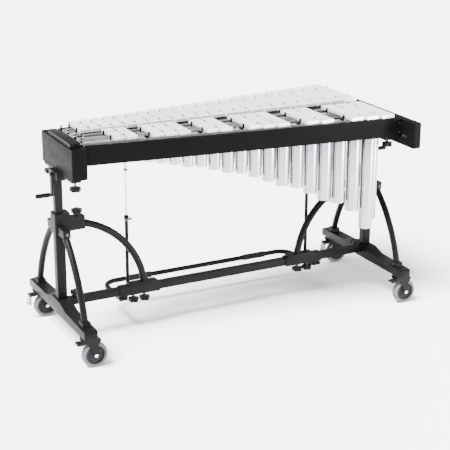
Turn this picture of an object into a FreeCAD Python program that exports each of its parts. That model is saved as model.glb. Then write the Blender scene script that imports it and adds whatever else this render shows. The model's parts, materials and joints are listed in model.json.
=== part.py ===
import FreeCAD, Part
import Sketcher
import math
import os
import re

# Three-octave vibraphone. Right-handed frame in millimetres: +X towards the long bars, +Y towards the
# player, +Z up, origin on the floor under the middle of the instrument. "High" means the short-bar end
# at -X, "low" the long-bar end at +X, "near" the audience side at -Y, "far" the player's side at +Y.

DIMENSIONS = {
    # bars
    "bar_top": 836.0,
    "bar_thick": 12.7,
    "bar_gap": 9.0,
    "bar_start": -597.0,          # free edge of the first pitch, at the high end
    "bar_span": 1243.0,           # all 22 natural pitches
    "pitch_high": 46.5,
    "pitch_step": 20.0 / 21,      # each natural pitch is this much wider than the last
    "natural_near": 28.0,
    "natural_near_rise": -14.0,   # a rise is the change from the high end to the low end
    "natural_far": 170.0,
    "natural_far_rise": 150.0,
    "accidental_near": -113.0,
    "accidental_near_rise": -182.0,
    "accidental_far": 10.0,
    "accidental_far_rise": -50.0,
    "accidental_shift": 6.0,      # accidental bars sit right of the natural gaps
    "accidental_shift_rise": 12.0,
    "arch_depth": 3.6,            # tuning arch under each bar
    "cord_hole": 2.2,
    "cord_radius": 1.25,
    "cord_height": 829.6,
    # rails and posts under the bars
    "rail_top": 818.0,
    "rail_tall": 20.0,
    "rail_wide": 6.0,
    "bar_post_radius": 1.6,
    "bar_post_top": 828.2,
    "natural_near_rail": 59.8,
    "natural_near_rail_rise": 22.7,
    "natural_far_rail": 138.2,
    "natural_far_rail_rise": 113.3,
    "accidental_far_rail": -17.6,
    "accidental_far_rail_rise": -79.6,
    "accidental_near_rail": -85.4,
    "accidental_near_rail_rise": -152.4,
    # resonator banks
    "tube_top": 796.0,
    "tube_wall": 1.4,
    "tube_share": 0.44,           # tube radius over bar pitch
    "natural_quarter": 451.7,     # tube length of the lowest natural bar
    "accidental_quarter": 426.0,
    "last_tube_extra": 38.0,
    "natural_bank": 99.0,
    "natural_bank_rise": 68.0,
    "accidental_bank": -40.0,
    "accidental_bank_rise": -146.7,
    "spare_tube_radius": 24.0,
    "spare_tube_bottom": 355.0,
    # keyboard frame
    "cap_top": 816.0,
    "high_cap_left": -701.0,
    "high_cap_right": -641.0,
    "high_cap_half": 168.0,
    "high_cap_tall": 117.0,
    "low_cap_left": 652.4,
    "low_cap_right": 689.0,
    "low_cap_half": 390.0,
    "low_cap_tall": 104.0,
    "cap_wall": 4.0,
    "cap_round": 7.0,
    "fascia_top": 821.0,
    "fascia_tall": 76.0,
    "fascia_thick": 8.0,
    "fascia_high_half": 146.0,
    "fascia_low_half": 303.0,
    "bracket_low": 670.0,
    "bracket_plate": 12.0,
    "bracket_out": 719.0,        # outer face of the seat round each crank shaft
    "bracket_seat_half": 45.0,
    "inner_seat": 684.0,
    "high_plate_in": 662.0,
    "high_plate_out": 699.0,
    "high_plate_half": 150.0,
    "high_knob_x": 683.0,
    "high_knob_stem": 19.0,
    "low_plate_in": 654.0,
    "low_plate_out": 688.0,
    "low_plate_half": 195.0,
    "low_knob_x": 671.0,
    "low_knob_stem": 11.0,
    # drive
    "housing_left": -696.0,
    "housing_wide": 43.0,
    "housing_near": -135.0,
    "housing_long": 232.0,
    "housing_tall": 16.0,
    "inlet_radius": 4.0,
    "motor_radius": 20.0,
    "motor_across": 30.0,
    "motor_height": 755.0,
    "shaft_radius": 3.0,
    "shaft_height": 792.0,
    "motor_pulley_radius": 8.0,
    "fan_pulley_radius": 10.0,
    "belt_gap": 0.5,
    "belt_thick": 1.6,
    # damper and pedal
    "damper_low": 806.0,
    "damper_thick": 6.0,
    "felt_top": 823.0,
    "felt_wide": 12.0,
    "rod_x": 414.0,
    "rod_y": 24.0,
    "rod_radius": 4.0,
    "rod_low": 310.0,
    "rod_tube_radius": 7.0,
    "rod_tube_top": 472.0,
    "pedal_pivot_y": -7.0,
    "pedal_pivot_z": 138.0,
    "pedal_arm_x": 441.0,
    "pivot_radius": 5.0,
    "pedal_arm_wide": 18.0,
    "pedal_bar_y": 230.0,
    "pedal_bar_z": 117.0,
    "pedal_bar_radius": 10.0,
    "pedal_bend": 60.0,
    "pedal_arm_end": 64.0,
    "sleeve_long": 108.0,
    "sleeve_x": 274.0,            # middle of each rubber sleeve on the pedal bar
    # stand
    "post_x": 703.0,
    "post_wide": 38.0,
    "post_deep": 35.0,
    "post_wall": 3.1,
    "post_low": 182.0,
    "post_high": 510.0,
    "inner_wide": 31.0,
    "inner_deep": 28.0,
    "inner_low": 260.0,
    "collar_low": 455.0,
    "collar_high": 533.0,
    "collar_deep": 60.0,
    "collar_wide": 62.0,
    "lug_long": 62.0,
    "lug_wide": 30.0,
    "lug_tall": 30.0,
    "socket_x": 640.0,            # socket that takes the arched brace
    "socket_wide": 70.0,
    "socket_deep": 36.0,
    "socket_low": 460.0,
    "socket_tall": 53.0,
    "beam_size": 30.0,
    "beam_low": 153.0,
    "beam_y": -7.0,
    "beam_end": 677.0,
    "sleeve_in": 293.0,
    "sleeve_out": 466.0,
    "sleeve_wall": 4.0,
    "brace_radius": 14.0,
    "brace_bend": 344.5,
    "brace_centre_x": 697.0,
    "brace_centre_z": 147.0,
    "strut_radius": 13.0,
    "strut_bend": 568.0,
    "strut_centre_y": 302.0,
    "strut_centre_z": 29.0,
    "foot_low": 128.0,
    "foot_half": 310.0,
    "foot_wide": 52.0,
    "foot_end_tall": 32.0,
    "foot_seat_y": 248.0,         # seat that takes the lower end of a side strut
    "foot_seat_long": 44.0,
    "foot_seat_wide": 34.0,
    "foot_seat_top": 178.0,
    # casters
    "caster_y": 270.0,
    "caster_trail": 26.0,
    "wheel_radius": 50.0,
    "hub_radius": 35.0,
    "tyre_wide": 28.0,
    "axle_radius": 4.0,
    "stem_radius": 6.0,
    "running_gap": 0.05,
    "fork_low": 38.0,
    "fork_shoulder": 88.0,
    "fork_wall": 4.0,
    "brake_z": 104.0,
    "brake_long": 30.0,
    "brake_pin_radius": 2.5,
    # cranks
    "crank_z": 687.0,
    "crank_throw": 80.0,
    "crank_handle_radius": 9.0,
    "crank_end": 790.0,
    "crank_face": 722.0,          # inner face of the crank arm
    "crank_thick": 7.0,
    # knobs
    "knob_radius": 21.0,
    "knob_tall": 15.0,
    "stud_radius": 4.0,
}

NATURALS = 22
# boundaries between naturals, counted from the high end, that carry an accidental bar or a dummy tube
ACCIDENTALS = (2, 3, 5, 6, 7, 9, 10, 12, 13, 14, 16, 17, 19, 20, 21)
DUMMIES = (1, 4, 8, 11, 15, 18)
# semitones above the lowest natural of the same octave
SCALE_STEPS = (0, 2, 4, 6, 7, 9, 11)
SIDES = (("left", -1), ("right", 1))
# semitones of each natural above the lowest one, from the high end down; the accidental at boundary k is a
# semitone above natural k and is counted from the lowest accidental, so it has the same number
NOTES = ([12 * octave + step for octave in range(3) for step in SCALE_STEPS] + [36])[::-1]
CASTERS = (("near_left", -1, -1), ("near_right", 1, -1), ("far_left", -1, 1), ("far_right", 1, 1))
# x rises from the high end to the low end; these lines are given by their y at both ends
LINES = ("natural_near_rail", "natural_far_rail", "accidental_far_rail", "accidental_near_rail",
         "natural_bank", "accidental_bank")

doc = FreeCAD.newDocument("Vibraphone")
sheet = doc.addObject("Spreadsheet::Sheet", "Dims")
for row, (alias, number) in enumerate(DIMENSIONS.items(), start=1):
    sheet.set("A%d" % row, alias)
    sheet.set("B%d" % row, repr(number))
    sheet.setAlias("B%d" % row, alias)
doc.recompute()

nodes = []
count = 0


# ---------------------------------------------------------------- helpers

def size(alias):
    """A driving dimension, as a plain number."""
    return float(getattr(sheet, alias))


def bound(expression):
    """Put the sheet's name before every alias in an expression."""
    return re.sub(r"\b([a-z]+(?:_[a-z]+)+)\b", r"Dims.\1", str(expression))


def new(kind, **expressions):
    """A document object with its sizes bound to the sheet."""
    global count
    count += 1
    made = doc.addObject(kind, "Piece%d" % count)
    for name, expression in expressions.items():
        made.setExpression(name, bound(expression))
    return made


def place(piece, x=0, y=0, z=0, turn=None):
    """Set where a piece stands, bound to the sheet, and how it is turned."""
    if turn is not None:
        piece.Placement = FreeCAD.Placement(FreeCAD.Vector(), turn)
    for name, expression in (("x", x), ("y", y), ("z", z)):
        piece.setExpression("Placement.Base." + name, bound(expression))
    return piece


def turned(axis, degrees):
    return FreeCAD.Rotation(FreeCAD.Vector(*axis), degrees)


UPRIGHT = turned((0, 0, 1), 0)
ALONG_X = turned((0, 1, 0), 90)
ALONG_Y = turned((1, 0, 0), -90)


def block(x, y, z, long, deep, tall):
    """A box centred on x and y, standing on z."""
    made = new("Part::Box", Length=long, Width=deep, Height=tall)
    return place(made, "(%s) - (%s) / 2" % (x, long), "(%s) - (%s) / 2" % (y, deep), z)


def span(x1, x2, y1, y2, z1, z2):
    """A box between two corners."""
    made = new("Part::Box", Length="(%s) - (%s)" % (x2, x1), Width="(%s) - (%s)" % (y2, y1),
               Height="(%s) - (%s)" % (z2, z1))
    return place(made, x1, y1, z1)


def side_span(side, x1, x2, y1, y2, z1, z2):
    """Box between bounds stated for the right side, mirrored in X for the left side."""
    if side < 0:
        x1, x2 = "-(%s)" % x2, "-(%s)" % x1
    return span(x1, x2, y1, y2, z1, z2)


def side_rod(side, x1, x2, y, z, radius):
    """Cylinder along X between bounds stated for the right side, mirrored for the left side."""
    start = "(%s)" % x1 if side > 0 else "-(%s)" % x2
    return rod(start, y, z, radius, "(%s) - (%s)" % (x2, x1), ALONG_X)


def rod(x, y, z, radius, tall, turn=UPRIGHT):
    """A cylinder that starts at a point."""
    return place(new("Part::Cylinder", Radius=radius, Height=tall), x, y, z, turn)


def joined(pieces):
    made = new("Part::MultiFuse")
    made.Shapes = pieces
    return made


def less(base, *tools):
    """The base with each tool cut away."""
    for tool in tools:
        made = new("Part::Cut")
        made.Base = base
        made.Tool = tool
        base = made
    return base


def grouped(pieces):
    made = new("Part::Compound")
    made.Links = pieces
    return made


def node(name, piece):
    """Name a finished sub-part."""
    piece.Label = name
    nodes.append(piece)
    return piece


def rounded(piece, radius_alias, direction):
    """Round every straight edge that runs in one direction."""
    doc.recompute()
    along = FreeCAD.Vector(*direction)
    edges = []
    for number, edge in enumerate(piece.Shape.Edges, start=1):
        straight = edge.Curve.TypeId == "Part::GeomLine"
        if straight and abs(edge.tangentAt(edge.FirstParameter).dot(along)) > 0.99:
            edges.append((number, size(radius_alias), size(radius_alias)))
    made = new("Part::Fillet")
    made.Base = piece
    made.Edges = edges
    return made


def prism(plane, points, length):
    """A body: a closed polygon of bound corners on an origin plane, padded both ways by half the length."""
    global count
    count += 1
    body = doc.addObject("PartDesign::Body", "Body%d" % count)
    sketch = body.newObject("Sketcher::SketchObject", "Outline%d" % count)
    base = [item for item in body.Origin.OriginFeatures if item.Role == plane][0]
    sketch.AttachmentSupport = [(base, "")]
    sketch.MapMode = "FlatFace"
    total = len(points)
    guess = [FreeCAD.Vector(float(number % 2) + number, float(number), 0) for number in range(total)]
    for number in range(total):
        sketch.addGeometry(Part.LineSegment(guess[number], guess[(number + 1) % total]), False)
    for number in range(total):
        sketch.addConstraint(Sketcher.Constraint("Coincident", number, 2, (number + 1) % total, 1))
    for number, (across, up) in enumerate(points):
        for kind, expression in (("DistanceX", across), ("DistanceY", up)):
            index = sketch.addConstraint(Sketcher.Constraint(kind, -1, 1, number, 1, 1.0))
            sketch.setExpression("Constraints[%d]" % index, bound(expression))
    pad = body.newObject("PartDesign::Pad", "Pad%d" % count)
    pad.Profile = sketch
    pad.Midplane = True
    pad.setExpression("Length", bound(length))
    body.Tip = pad
    return body


def edge_of(index):
    """The x of a boundary between natural bars, as an expression."""
    return "(bar_start + %d * pitch_high + %d * pitch_step)" % (index, index * (index - 1) // 2)


def pitch_at(index):
    return "(pitch_high + %g * pitch_step)" % index


def share_of(x):
    """How far along the bars an x is, from 0 at the high end to 1 at the low end."""
    return "(((%s) - bar_start) / bar_span)" % x


def line_y(line, x):
    return "(%s + %s_rise * %s)" % (line, line, share_of(x))


def line_angle(line):
    return "atan(%s_rise / bar_span)" % line


def strip(line, x1, x2, wide, low, tall, shift="0"):
    """A box that follows one of the slanted lines across the keyboard."""
    angle = line_angle(line)
    made = new("Part::Box", Length="((%s) - (%s)) / cos(%s)" % (x2, x1, angle), Width=wide, Height=tall)
    y = "%s + (%s)" % (line_y(line, x1), shift)
    place(made, "(%s) + (%s) / 2 * sin(%s)" % (x1, wide, angle), "%s - (%s) / 2 * cos(%s)" % (y, wide, angle),
          low, turned((0, 0, 1), 1))
    made.setExpression("Placement.Rotation.Angle", bound(angle))
    return made


def line_rod(line, x1, x2, radius, z):
    """A cylinder that follows one of the slanted lines."""
    direction = FreeCAD.Vector(size("bar_span"), size(line + "_rise"), 0)
    turn = FreeCAD.Rotation(FreeCAD.Vector(0, 0, 1), direction)
    length = "((%s) - (%s)) / cos(%s)" % (x2, x1, line_angle(line))
    return rod(x1, line_y(line, x1), z, radius, length, turn)


# ---------------------------------------------------------------- stand

def foot(side):
    """Cross foot: a bar with a hub under the post and a small seat for each side strut."""
    top = "(foot_low + foot_end_tall)"
    half = [("foot_half", "foot_low"), ("foot_half", top + " - 4"), ("foot_half - 4", top),
            ("108", top + " + 4"), ("66", "post_low - 5"), ("48", "post_low")]
    points = half + [("-(%s)" % across, up) for across, up in reversed(half)]
    x = "(%d * post_x)" % side
    beam = place(prism("YZ_Plane", points, "foot_wide"), x)
    seats = [rounded(block(x, "%d * foot_seat_y" % end, top + " - 6", "foot_seat_wide", "foot_seat_long",
                           "foot_seat_top - (%s - 6)" % top), "sleeve_wall", (0, 0, 1)) for end in (-1, 1)]
    stems = [rod(x, "%d * caster_y" % end, "foot_low - 1", "stem_radius + running_gap", "25")
             for end in (-1, 1)]
    return less(joined([beam] + seats), *stems)


def outer_post(side):
    x = "%d * post_x" % side
    outside = rounded(block(x, 0, "post_low", "post_wide", "post_deep", "post_high - post_low"),
                      "sleeve_wall", (0, 0, 1))
    inside = block(x, 0, "post_low - 1", "post_wide - 2 * post_wall", "post_deep - 2 * post_wall",
                   "post_high - post_low + 2")
    return less(outside, inside)


def clamp_block(side):
    return block("%d * (post_x - 7)" % side, 0, "collar_low", "collar_wide", "collar_deep",
                 "collar_high - collar_low")


def strut_lug(side, end):
    """Lug on the collar that holds the upper end of a side strut."""
    return rounded(block("%d * post_x" % side, "%d * (collar_deep + lug_long - 10) / 2" % end, "collar_low",
                         "lug_wide", "lug_long + 10", "lug_tall"), "sleeve_wall", (0, 0, 1))


def collar(side):
    """Clamp round the top of the outer post, with the socket of the arched brace and two strut lugs."""
    sleeve = rounded(clamp_block(side), "cap_round", (0, 0, 1))
    socket = block("%d * socket_x" % side, "beam_y", "socket_low", "socket_wide", "socket_deep",
                   "socket_tall")
    bore = block("%d * post_x" % side, 0, "collar_low - 1", "inner_wide + 0.8", "inner_deep + 0.8", "100")
    cavity = block("%d * post_x" % side, 0, "collar_low - 1", "post_wide", "post_deep",
                   "post_high - collar_low + 1")
    body = joined([sleeve, socket, strut_lug(side, -1), strut_lug(side, 1)])
    return less(body, bore, cavity)


def arched_brace(side, *tools):
    """Arc from the collar down to the beam, in the plane of the beam."""
    start = 103.0
    sweep = 70.0
    face = turned((1, 0, 0), 90)
    if side < 0:
        face = turned((0, 0, 1), 180).multiply(face)
    arc = new("Part::Torus", Radius1="brace_bend", Radius2="brace_radius", Angle3="%g" % sweep)
    place(arc, "%d * brace_centre_x" % side, "beam_y", "brace_centre_z",
          face.multiply(turned((0, 0, 1), start)))
    return less(arc, *tools)


def side_strut(side, end, *tools):
    """Arc from the collar out to the foot bracket, in the plane of the foot."""
    start = 14.5
    sweep = 37.0
    face = turned((1, 1, 1), 120)
    if end < 0:
        face = turned((0, 0, 1), 180).multiply(face)
    arc = new("Part::Torus", Radius1="strut_bend", Radius2="strut_radius", Angle3="%g" % sweep)
    place(arc, "%d * post_x" % side, "%d * strut_centre_y" % -end, "strut_centre_z",
          face.multiply(turned((0, 0, 1), start)))
    return less(arc, *tools)


def beam_bracket(side):
    """Sleeve on the beam with a seat for the arched brace and an ear for the pedal pivot."""
    middle = "%d * (sleeve_in + sleeve_out) / 2" % side
    long = "sleeve_out - sleeve_in"
    outside = block(middle, "beam_y", "beam_low - sleeve_wall", long, "beam_size + 2 * sleeve_wall",
                    "beam_size + 2 * sleeve_wall")
    seat = block("%d * 364" % side, "beam_y", "beam_low + beam_size", "120", "36", "13")
    ear = block("%d * (sleeve_out - 7)" % side, "pedal_pivot_y", "pedal_pivot_z - 10", "14", "24", "14")
    pin = side_rod(side, "pedal_arm_x - 10", "sleeve_out", "pedal_pivot_y", "pedal_pivot_z", "pivot_radius")
    hole = block(middle, "beam_y", "beam_low", "(%s) + 2" % long, "beam_size", "beam_size")
    return less(joined([outside, seat, ear, pin]), hole)


def knob(x, y, z, up=1, stem="10"):
    """Star knob on a stud; z is where the stud meets the part it clamps."""
    lobes = 5
    head = "(%s) - (%s) - knob_tall" % (z, stem) if up > 0 else "(%s) + (%s)" % (z, stem)
    stud = "(%s) - (%s)" % (z, stem) if up > 0 else z
    pieces = [rod(x, y, head, "knob_radius - 5", "knob_tall"), rod(x, y, stud, "stud_radius", stem)]
    for lobe in range(lobes):
        angle = 2 * math.pi * lobe / lobes
        pieces.append(rod("(%s) + (knob_radius - 6) * %.4f" % (x, math.cos(angle)),
                          "(%s) + (knob_radius - 6) * %.4f" % (y, math.sin(angle)), head, "6", "knob_tall"))
    return joined(pieces)


def build_stand():
    feet = {name: foot(side) for name, side in SIDES}
    posts = {name: outer_post(side) for name, side in SIDES}
    collars = {name: collar(side) for name, side in SIDES}
    brackets = {name: beam_bracket(side) for name, side in SIDES}
    braces = []
    struts = []
    for name, side in SIDES:
        node(name + "_foot", feet[name])
        node(name + "_outer_post", posts[name])
        node(name + "_collar", collars[name])
        node(name + "_beam_bracket", brackets[name])
        braces.append(arched_brace(side, collars[name], brackets[name]))
        struts += [side_strut(side, end, clamp_block(side), strut_lug(side, end), feet[name])
                   for end in (-1, 1)]
    node("arched_braces", grouped(braces))
    node("side_struts", grouped(struts))
    outside = block(0, "beam_y", "beam_low", "2 * beam_end", "beam_size", "beam_size")
    inside = block(0, "beam_y", "beam_low + 2", "2 * beam_end + 2", "beam_size - 4", "beam_size - 4")
    node("long_beam", less(outside, inside))
    knobs = []
    bolts = []
    for name, side in SIDES:
        knobs.append(knob("%d * (socket_x - 7)" % side, "beam_y", "socket_low + socket_tall", -1, "11"))
        knobs += [knob("%d * %g" % (side, x), "beam_y", "beam_low - sleeve_wall", 1, "18")
                  for x in (356, 404)]
        knobs.append(knob("%d * (socket_x + 8)" % side, "beam_y", "beam_low + beam_size", -1, "8"))
        for end in (-1, 1):
            bolts.append(side_rod(side, "post_x - foot_seat_wide / 2 - 4", "post_x - foot_seat_wide / 2",
                                  "%d * foot_seat_y" % end, "foot_seat_top - 9", "5"))
        bolts.append(rod("%d * post_x" % side, "-(collar_deep / 2) - lug_long - 6", "collar_low + 15",
                         "7", "6", ALONG_Y))
    node("stand_knobs", grouped(knobs))
    node("stand_bolts", grouped(bolts))


# ---------------------------------------------------------------- casters

def build_caster(name, side, end):
    """Swivel fork with axle and brake pin, hub, tyre and brake lever. The wheel trails towards +X."""
    x = "(%d * post_x)" % side
    y = "(%d * caster_y)" % end
    wheel_x = "(%s + caster_trail)" % x
    half = "(tyre_wide / 2)"
    head = rod(x, y, "foot_low - 8", "24", "7.5")
    stem = rod(x, y, "foot_low - 2", "stem_radius", "24")
    bridge = span("%s - 22" % x, "%s + 10" % wheel_x, "%s - %s - 6" % (y, half), "%s + %s + 6" % (y, half),
                  "foot_low - 10.5", "foot_low - 4")
    axle = rod(wheel_x, "%s - %s - 9" % (y, half), "wheel_radius", "axle_radius", "tyre_wide + 18", ALONG_Y)
    legs = []
    for way in (-1, 1):
        middle = "(%s + %d * (%s + fork_wall))" % (y, way, half)
        faces = ("%s - fork_wall / 2" % middle, "%s + fork_wall / 2" % middle)
        legs.append(span("%s - 22" % x, "%s + 10" % wheel_x, *faces, "fork_shoulder", "foot_low - 4"))
        legs.append(span("%s - 12" % wheel_x, "%s + 10" % wheel_x, *faces, "fork_low", "foot_low - 4"))
    pin = rod("%s - 16" % x, "%s - %s - 6" % (y, half), "brake_z", "brake_pin_radius", "tyre_wide + 12",
              ALONG_Y)
    node(name + "_fork", joined([head, stem, bridge, axle, pin] + legs))
    bore = rod(wheel_x, "%s - 20" % y, "wheel_radius", "axle_radius + running_gap", "40", ALONG_Y)
    hub = rod(wheel_x, "%s - %s - 1" % (y, half), "wheel_radius", "hub_radius", "tyre_wide + 2", ALONG_Y)
    node(name + "_hub", less(hub, bore))
    tread = rod(wheel_x, "%s - %s" % (y, half), "wheel_radius", "wheel_radius", "tyre_wide", ALONG_Y)
    seat = rod(wheel_x, "%s - 20" % y, "wheel_radius", "hub_radius", "40", ALONG_Y)
    node(name + "_tyre", less(tread, seat))
    barrel = rod("%s - 16" % x, "%s - %s" % (y, half), "brake_z", "6", "tyre_wide", ALONG_Y)
    tab = span("%s - 16 - brake_long" % x, "%s - 16" % x, "%s - %s" % (y, half), "%s + %s" % (y, half),
               "brake_z - 6", "brake_z + 4")
    hole = rod("%s - 16" % x, "%s - 20" % y, "brake_z", "brake_pin_radius + running_gap", "40", ALONG_Y)
    node(name + "_brake_lever", less(joined([barrel, tab]), hole))


# ---------------------------------------------------------------- keyboard frame

def build_frame():
    """End caps, fascias, rails, top brackets and inner posts."""
    high = rounded(span("high_cap_left", "high_cap_right", "-high_cap_half", "high_cap_half",
                        "cap_top - high_cap_tall", "cap_top"), "cap_round", (0, 0, 1))
    hollow = span("high_cap_left + cap_wall", "high_cap_right - cap_wall", "cap_wall - high_cap_half",
                  "high_cap_half - cap_wall", "cap_top - high_cap_tall - 1", "cap_top - cap_wall")
    passage = rod("high_cap_right - 6", "motor_across", "motor_height", "shaft_radius + 1", "12", ALONG_X)
    left_cap = node("left_end_cap", less(high, hollow, passage))
    low = rounded(span("low_cap_left", "low_cap_right", "-low_cap_half", "low_cap_half",
                       "cap_top - low_cap_tall", "cap_top"), "cap_round", (0, 0, 1))
    right_cap = node("right_end_cap", low)
    for name, end in (("near", -1), ("far", 1)):
        corners = [("high_cap_right", "%d * fascia_high_half" % end),
                   ("low_cap_left", "%d * fascia_low_half" % end),
                   ("low_cap_left", "%d * (fascia_low_half - fascia_thick)" % end),
                   ("high_cap_right", "%d * (fascia_high_half - fascia_thick)" % end)]
        board = prism("XY_Plane", corners, "fascia_tall")
        node(name + "_fascia", place(board, 0, 0, "fascia_top - fascia_tall / 2"))
    rails = [less(strip(line, "high_cap_right - 3", "low_cap_left + 3", "rail_wide", "rail_top - rail_tall",
                        "rail_tall"), left_cap, right_cap) for line in LINES[:4]]
    node("bar_rails", grouped(rails))
    brackets = []
    knobs = []
    for name, side in SIDES:
        kind = "high" if side < 0 else "low"
        top = "(cap_top - %s_cap_tall)" % kind
        inner = "%d * %s_plate_in" % (side, kind)
        outer = "%d * %s_plate_out" % (side, kind)
        edges = (inner, outer) if side > 0 else (outer, inner)
        plate = span(*edges, "-%s_plate_half" % kind, "%s_plate_half" % kind, top + " - bracket_plate", top)
        seat = side_span(side, "inner_seat", "bracket_out", "-bracket_seat_half", "bracket_seat_half",
                         "bracket_low", top)
        bore = side_rod(side, "inner_seat - 5", "bracket_out + 5", 0, "crank_z", "stem_radius + running_gap")
        brackets.append(less(joined([plate, seat]), bore))
        node(name + "_inner_post", block("%d * post_x" % side, 0, "inner_low", "inner_wide", "inner_deep",
                                         "bracket_low - inner_low"))
        for end in (-1, 1):
            knobs.append(knob("%d * %s_knob_x" % (side, kind), "%d * (%s_plate_half - 13)" % (end, kind),
                              top + " - bracket_plate", 1, "%s_knob_stem" % kind))
    node("top_brackets", grouped(brackets))
    node("frame_knobs", grouped(knobs))


def build_cranks():
    """Height cranks at both ends: shaft, arm and handle."""
    for name, side in SIDES:
        shaft = side_rod(side, "700", "crank_face + crank_thick", 0, "crank_z", "stem_radius")
        arm = side_span(side, "crank_face", "crank_face + crank_thick", "-9", "9",
                        "crank_z - crank_throw - 9", "crank_z + 12")
        handle = side_rod(side, "crank_face + 4", "crank_end", 0, "crank_z - crank_throw",
                          "crank_handle_radius")
        node(name + "_crank", joined([shaft, arm, handle]))


# ---------------------------------------------------------------- bars

def bar(x, wide, near, far):
    """One bar with its tuning arch, between two long y lines."""
    slab = block(x, "((%s) + (%s)) / 2" % (near, far), "bar_top - bar_thick", wide,
                 "(%s) - (%s)" % (far, near), "bar_thick")
    half = "(((%s) - (%s)) * 0.24)" % (far, near)
    radius = "(%s * %s / (2 * arch_depth))" % (half, half)
    arch = rod("(%s) - (%s) / 2 - 1" % (x, wide), "((%s) + (%s)) / 2" % (near, far),
               "bar_top - bar_thick + arch_depth - %s" % radius, radius, "(%s) + 2" % wide, ALONG_X)
    return less(slab, arch)


def accidental_x(index):
    return "(%s + accidental_shift + accidental_shift_rise * %s)" % (edge_of(index), share_of(edge_of(index)))


def build_bars():
    naturals = []
    for index in range(NATURALS):
        x = "(%s + %s / 2)" % (edge_of(index), pitch_at(index))
        naturals.append(bar(x, "%s - bar_gap" % pitch_at(index), line_y("natural_near", x),
                            line_y("natural_far", x)))
    accidentals = []
    for index in ACCIDENTALS:
        x = accidental_x(index)
        accidentals.append(bar(x, "%s - bar_gap" % pitch_at(index - 0.5), line_y("accidental_near", x),
                               line_y("accidental_far", x)))
    cords = []
    rows = (("natural_bars", naturals, LINES[0:2]), ("accidental_bars", accidentals, LINES[2:4]))
    for name, bars, lines in rows:
        drills = [line_rod(line, "bar_start - 12", "bar_start + bar_span + 5", "cord_hole", "cord_height")
                  for line in lines]
        node(name, less(grouped(bars), *drills))
        cords += [line_rod(line, "bar_start - 6", "bar_start + bar_span + 2", "cord_radius", "cord_height")
                  for line in lines]
    node("suspension_cords", grouped(cords))
    posts = []
    for line in LINES[0:2]:
        for index in range(NATURALS + 1):
            x = edge_of(index)
            posts.append(rod(x, line_y(line, x), "rail_top", "bar_post_radius", "bar_post_top - rail_top"))
    for line in LINES[2:4]:
        for index in ACCIDENTALS:
            ways = (-1,) if index + 1 in ACCIDENTALS else (-1, 1)
            for way in ways:
                x = "(%s + %d * %s / 2)" % (accidental_x(index), way, pitch_at(index - 0.5))
                posts.append(rod(x, line_y(line, x), "rail_top", "bar_post_radius",
                                 "bar_post_top - rail_top"))
    node("bar_posts", grouped(posts))


# ---------------------------------------------------------------- resonators

def tube(x, y, radius, length):
    """Tube with a stopped lower end."""
    outside = rod(x, y, "tube_top - (%s)" % length, radius, length)
    inside = rod(x, y, "tube_top - (%s) + 3" % length, "(%s) - tube_wall" % radius, length)
    return less(outside, inside)


def accidental_length(index):
    """Quarter-wave length of a tube of the accidental bank; a dummy blends its neighbours."""
    if index in ACCIDENTALS:
        semitones = NOTES[index]
        extra = " + last_tube_extra" if index == ACCIDENTALS[-1] else ""
        return "(accidental_quarter * %.5f%s)" % (2 ** (-semitones / 12), extra)
    longer = accidental_length(index + 1)
    if index == 1:
        return "(%s * 0.93)" % longer
    return "(0.66 * %s + 0.34 * %s)" % (longer, accidental_length(index - 1))


def fan(line, discs):
    """Shaft with a disc in every tube and a pulley at its high end."""
    start = "(high_cap_right + 3)"
    pieces = [line_rod(line, start, discs[-1][0] + " + 12", "shaft_radius", "shaft_height"),
              line_rod(line, start, "(%s + 14)" % start, "fan_pulley_radius", "shaft_height")]
    for x, radius in discs:
        pieces.append(rod(x, line_y(line, x), "shaft_height - 0.6", "(%s) - tube_wall - 1.6" % radius, "1.2"))
    return joined(pieces)


def build_resonators():
    naturals = []
    natural_discs = []
    for index in range(NATURALS):
        x = "(%s + %s / 2)" % (edge_of(index), pitch_at(index))
        radius = "(tube_share * %s)" % pitch_at(index)
        length = "natural_quarter * %.5f" % 2 ** (-NOTES[index] / 12)
        naturals.append(tube(x, line_y("natural_bank", x), radius, length))
        natural_discs.append((x, radius))
    accidentals = []
    accidental_discs = []
    for index in sorted(ACCIDENTALS + DUMMIES):
        x = edge_of(index)
        radius = "(tube_share * %s)" % pitch_at(index - 0.5)
        accidentals.append(tube(x, line_y("accidental_bank", x), radius, accidental_length(index)))
        if index in ACCIDENTALS:
            accidental_discs.append((x, radius))
    spare = tube("625", "-143", "spare_tube_radius", "tube_top - spare_tube_bottom")
    holes = [line_rod(line, "high_cap_right + 8", "low_cap_left - 8", "shaft_radius + 1.2", "shaft_height")
             for line in LINES[4:6]]
    node("natural_resonators", less(grouped(naturals), holes[0]))
    node("accidental_resonators", grouped([less(grouped(accidentals), holes[1]), spare]))
    node("natural_fans", fan("natural_bank", natural_discs))
    node("accidental_fans", fan("accidental_bank", accidental_discs))
    ties = []
    for line in LINES[4:6]:
        for way in (-1, 1):
            x1 = "(bar_start - 14)"
            x2 = "low_cap_left"
            near = "%s + %d * 22.2" % (line_y(line, x1), way)
            far = "%s + %d * 31.6" % (line_y(line, x2), way)
            corners = [(x1, near + " - 1"), (x2, far + " - 1"), (x2, far + " + 1"), (x1, near + " + 1")]
            tie = place(prism("XY_Plane", corners, "12"), 0, 0, "tube_top - 14")
            room = rod("625", "-143", "tube_top - 30", "spare_tube_radius + 0.5", "30")
            ties.append(less(tie, room) if (line, way) == ("accidental_bank", 1) else tie)
    for x in (-500, 500):
        low = "%s - 4" % line_y("accidental_far_rail", str(x))
        high = "%s + 4" % line_y("natural_near_rail", str(x))
        ties.append(span(str(x - 9), str(x + 9), low, high, "rail_top - rail_tall - 8",
                         "rail_top - rail_tall"))
    node("frame_ties", grouped(ties))


# ---------------------------------------------------------------- drive

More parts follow.
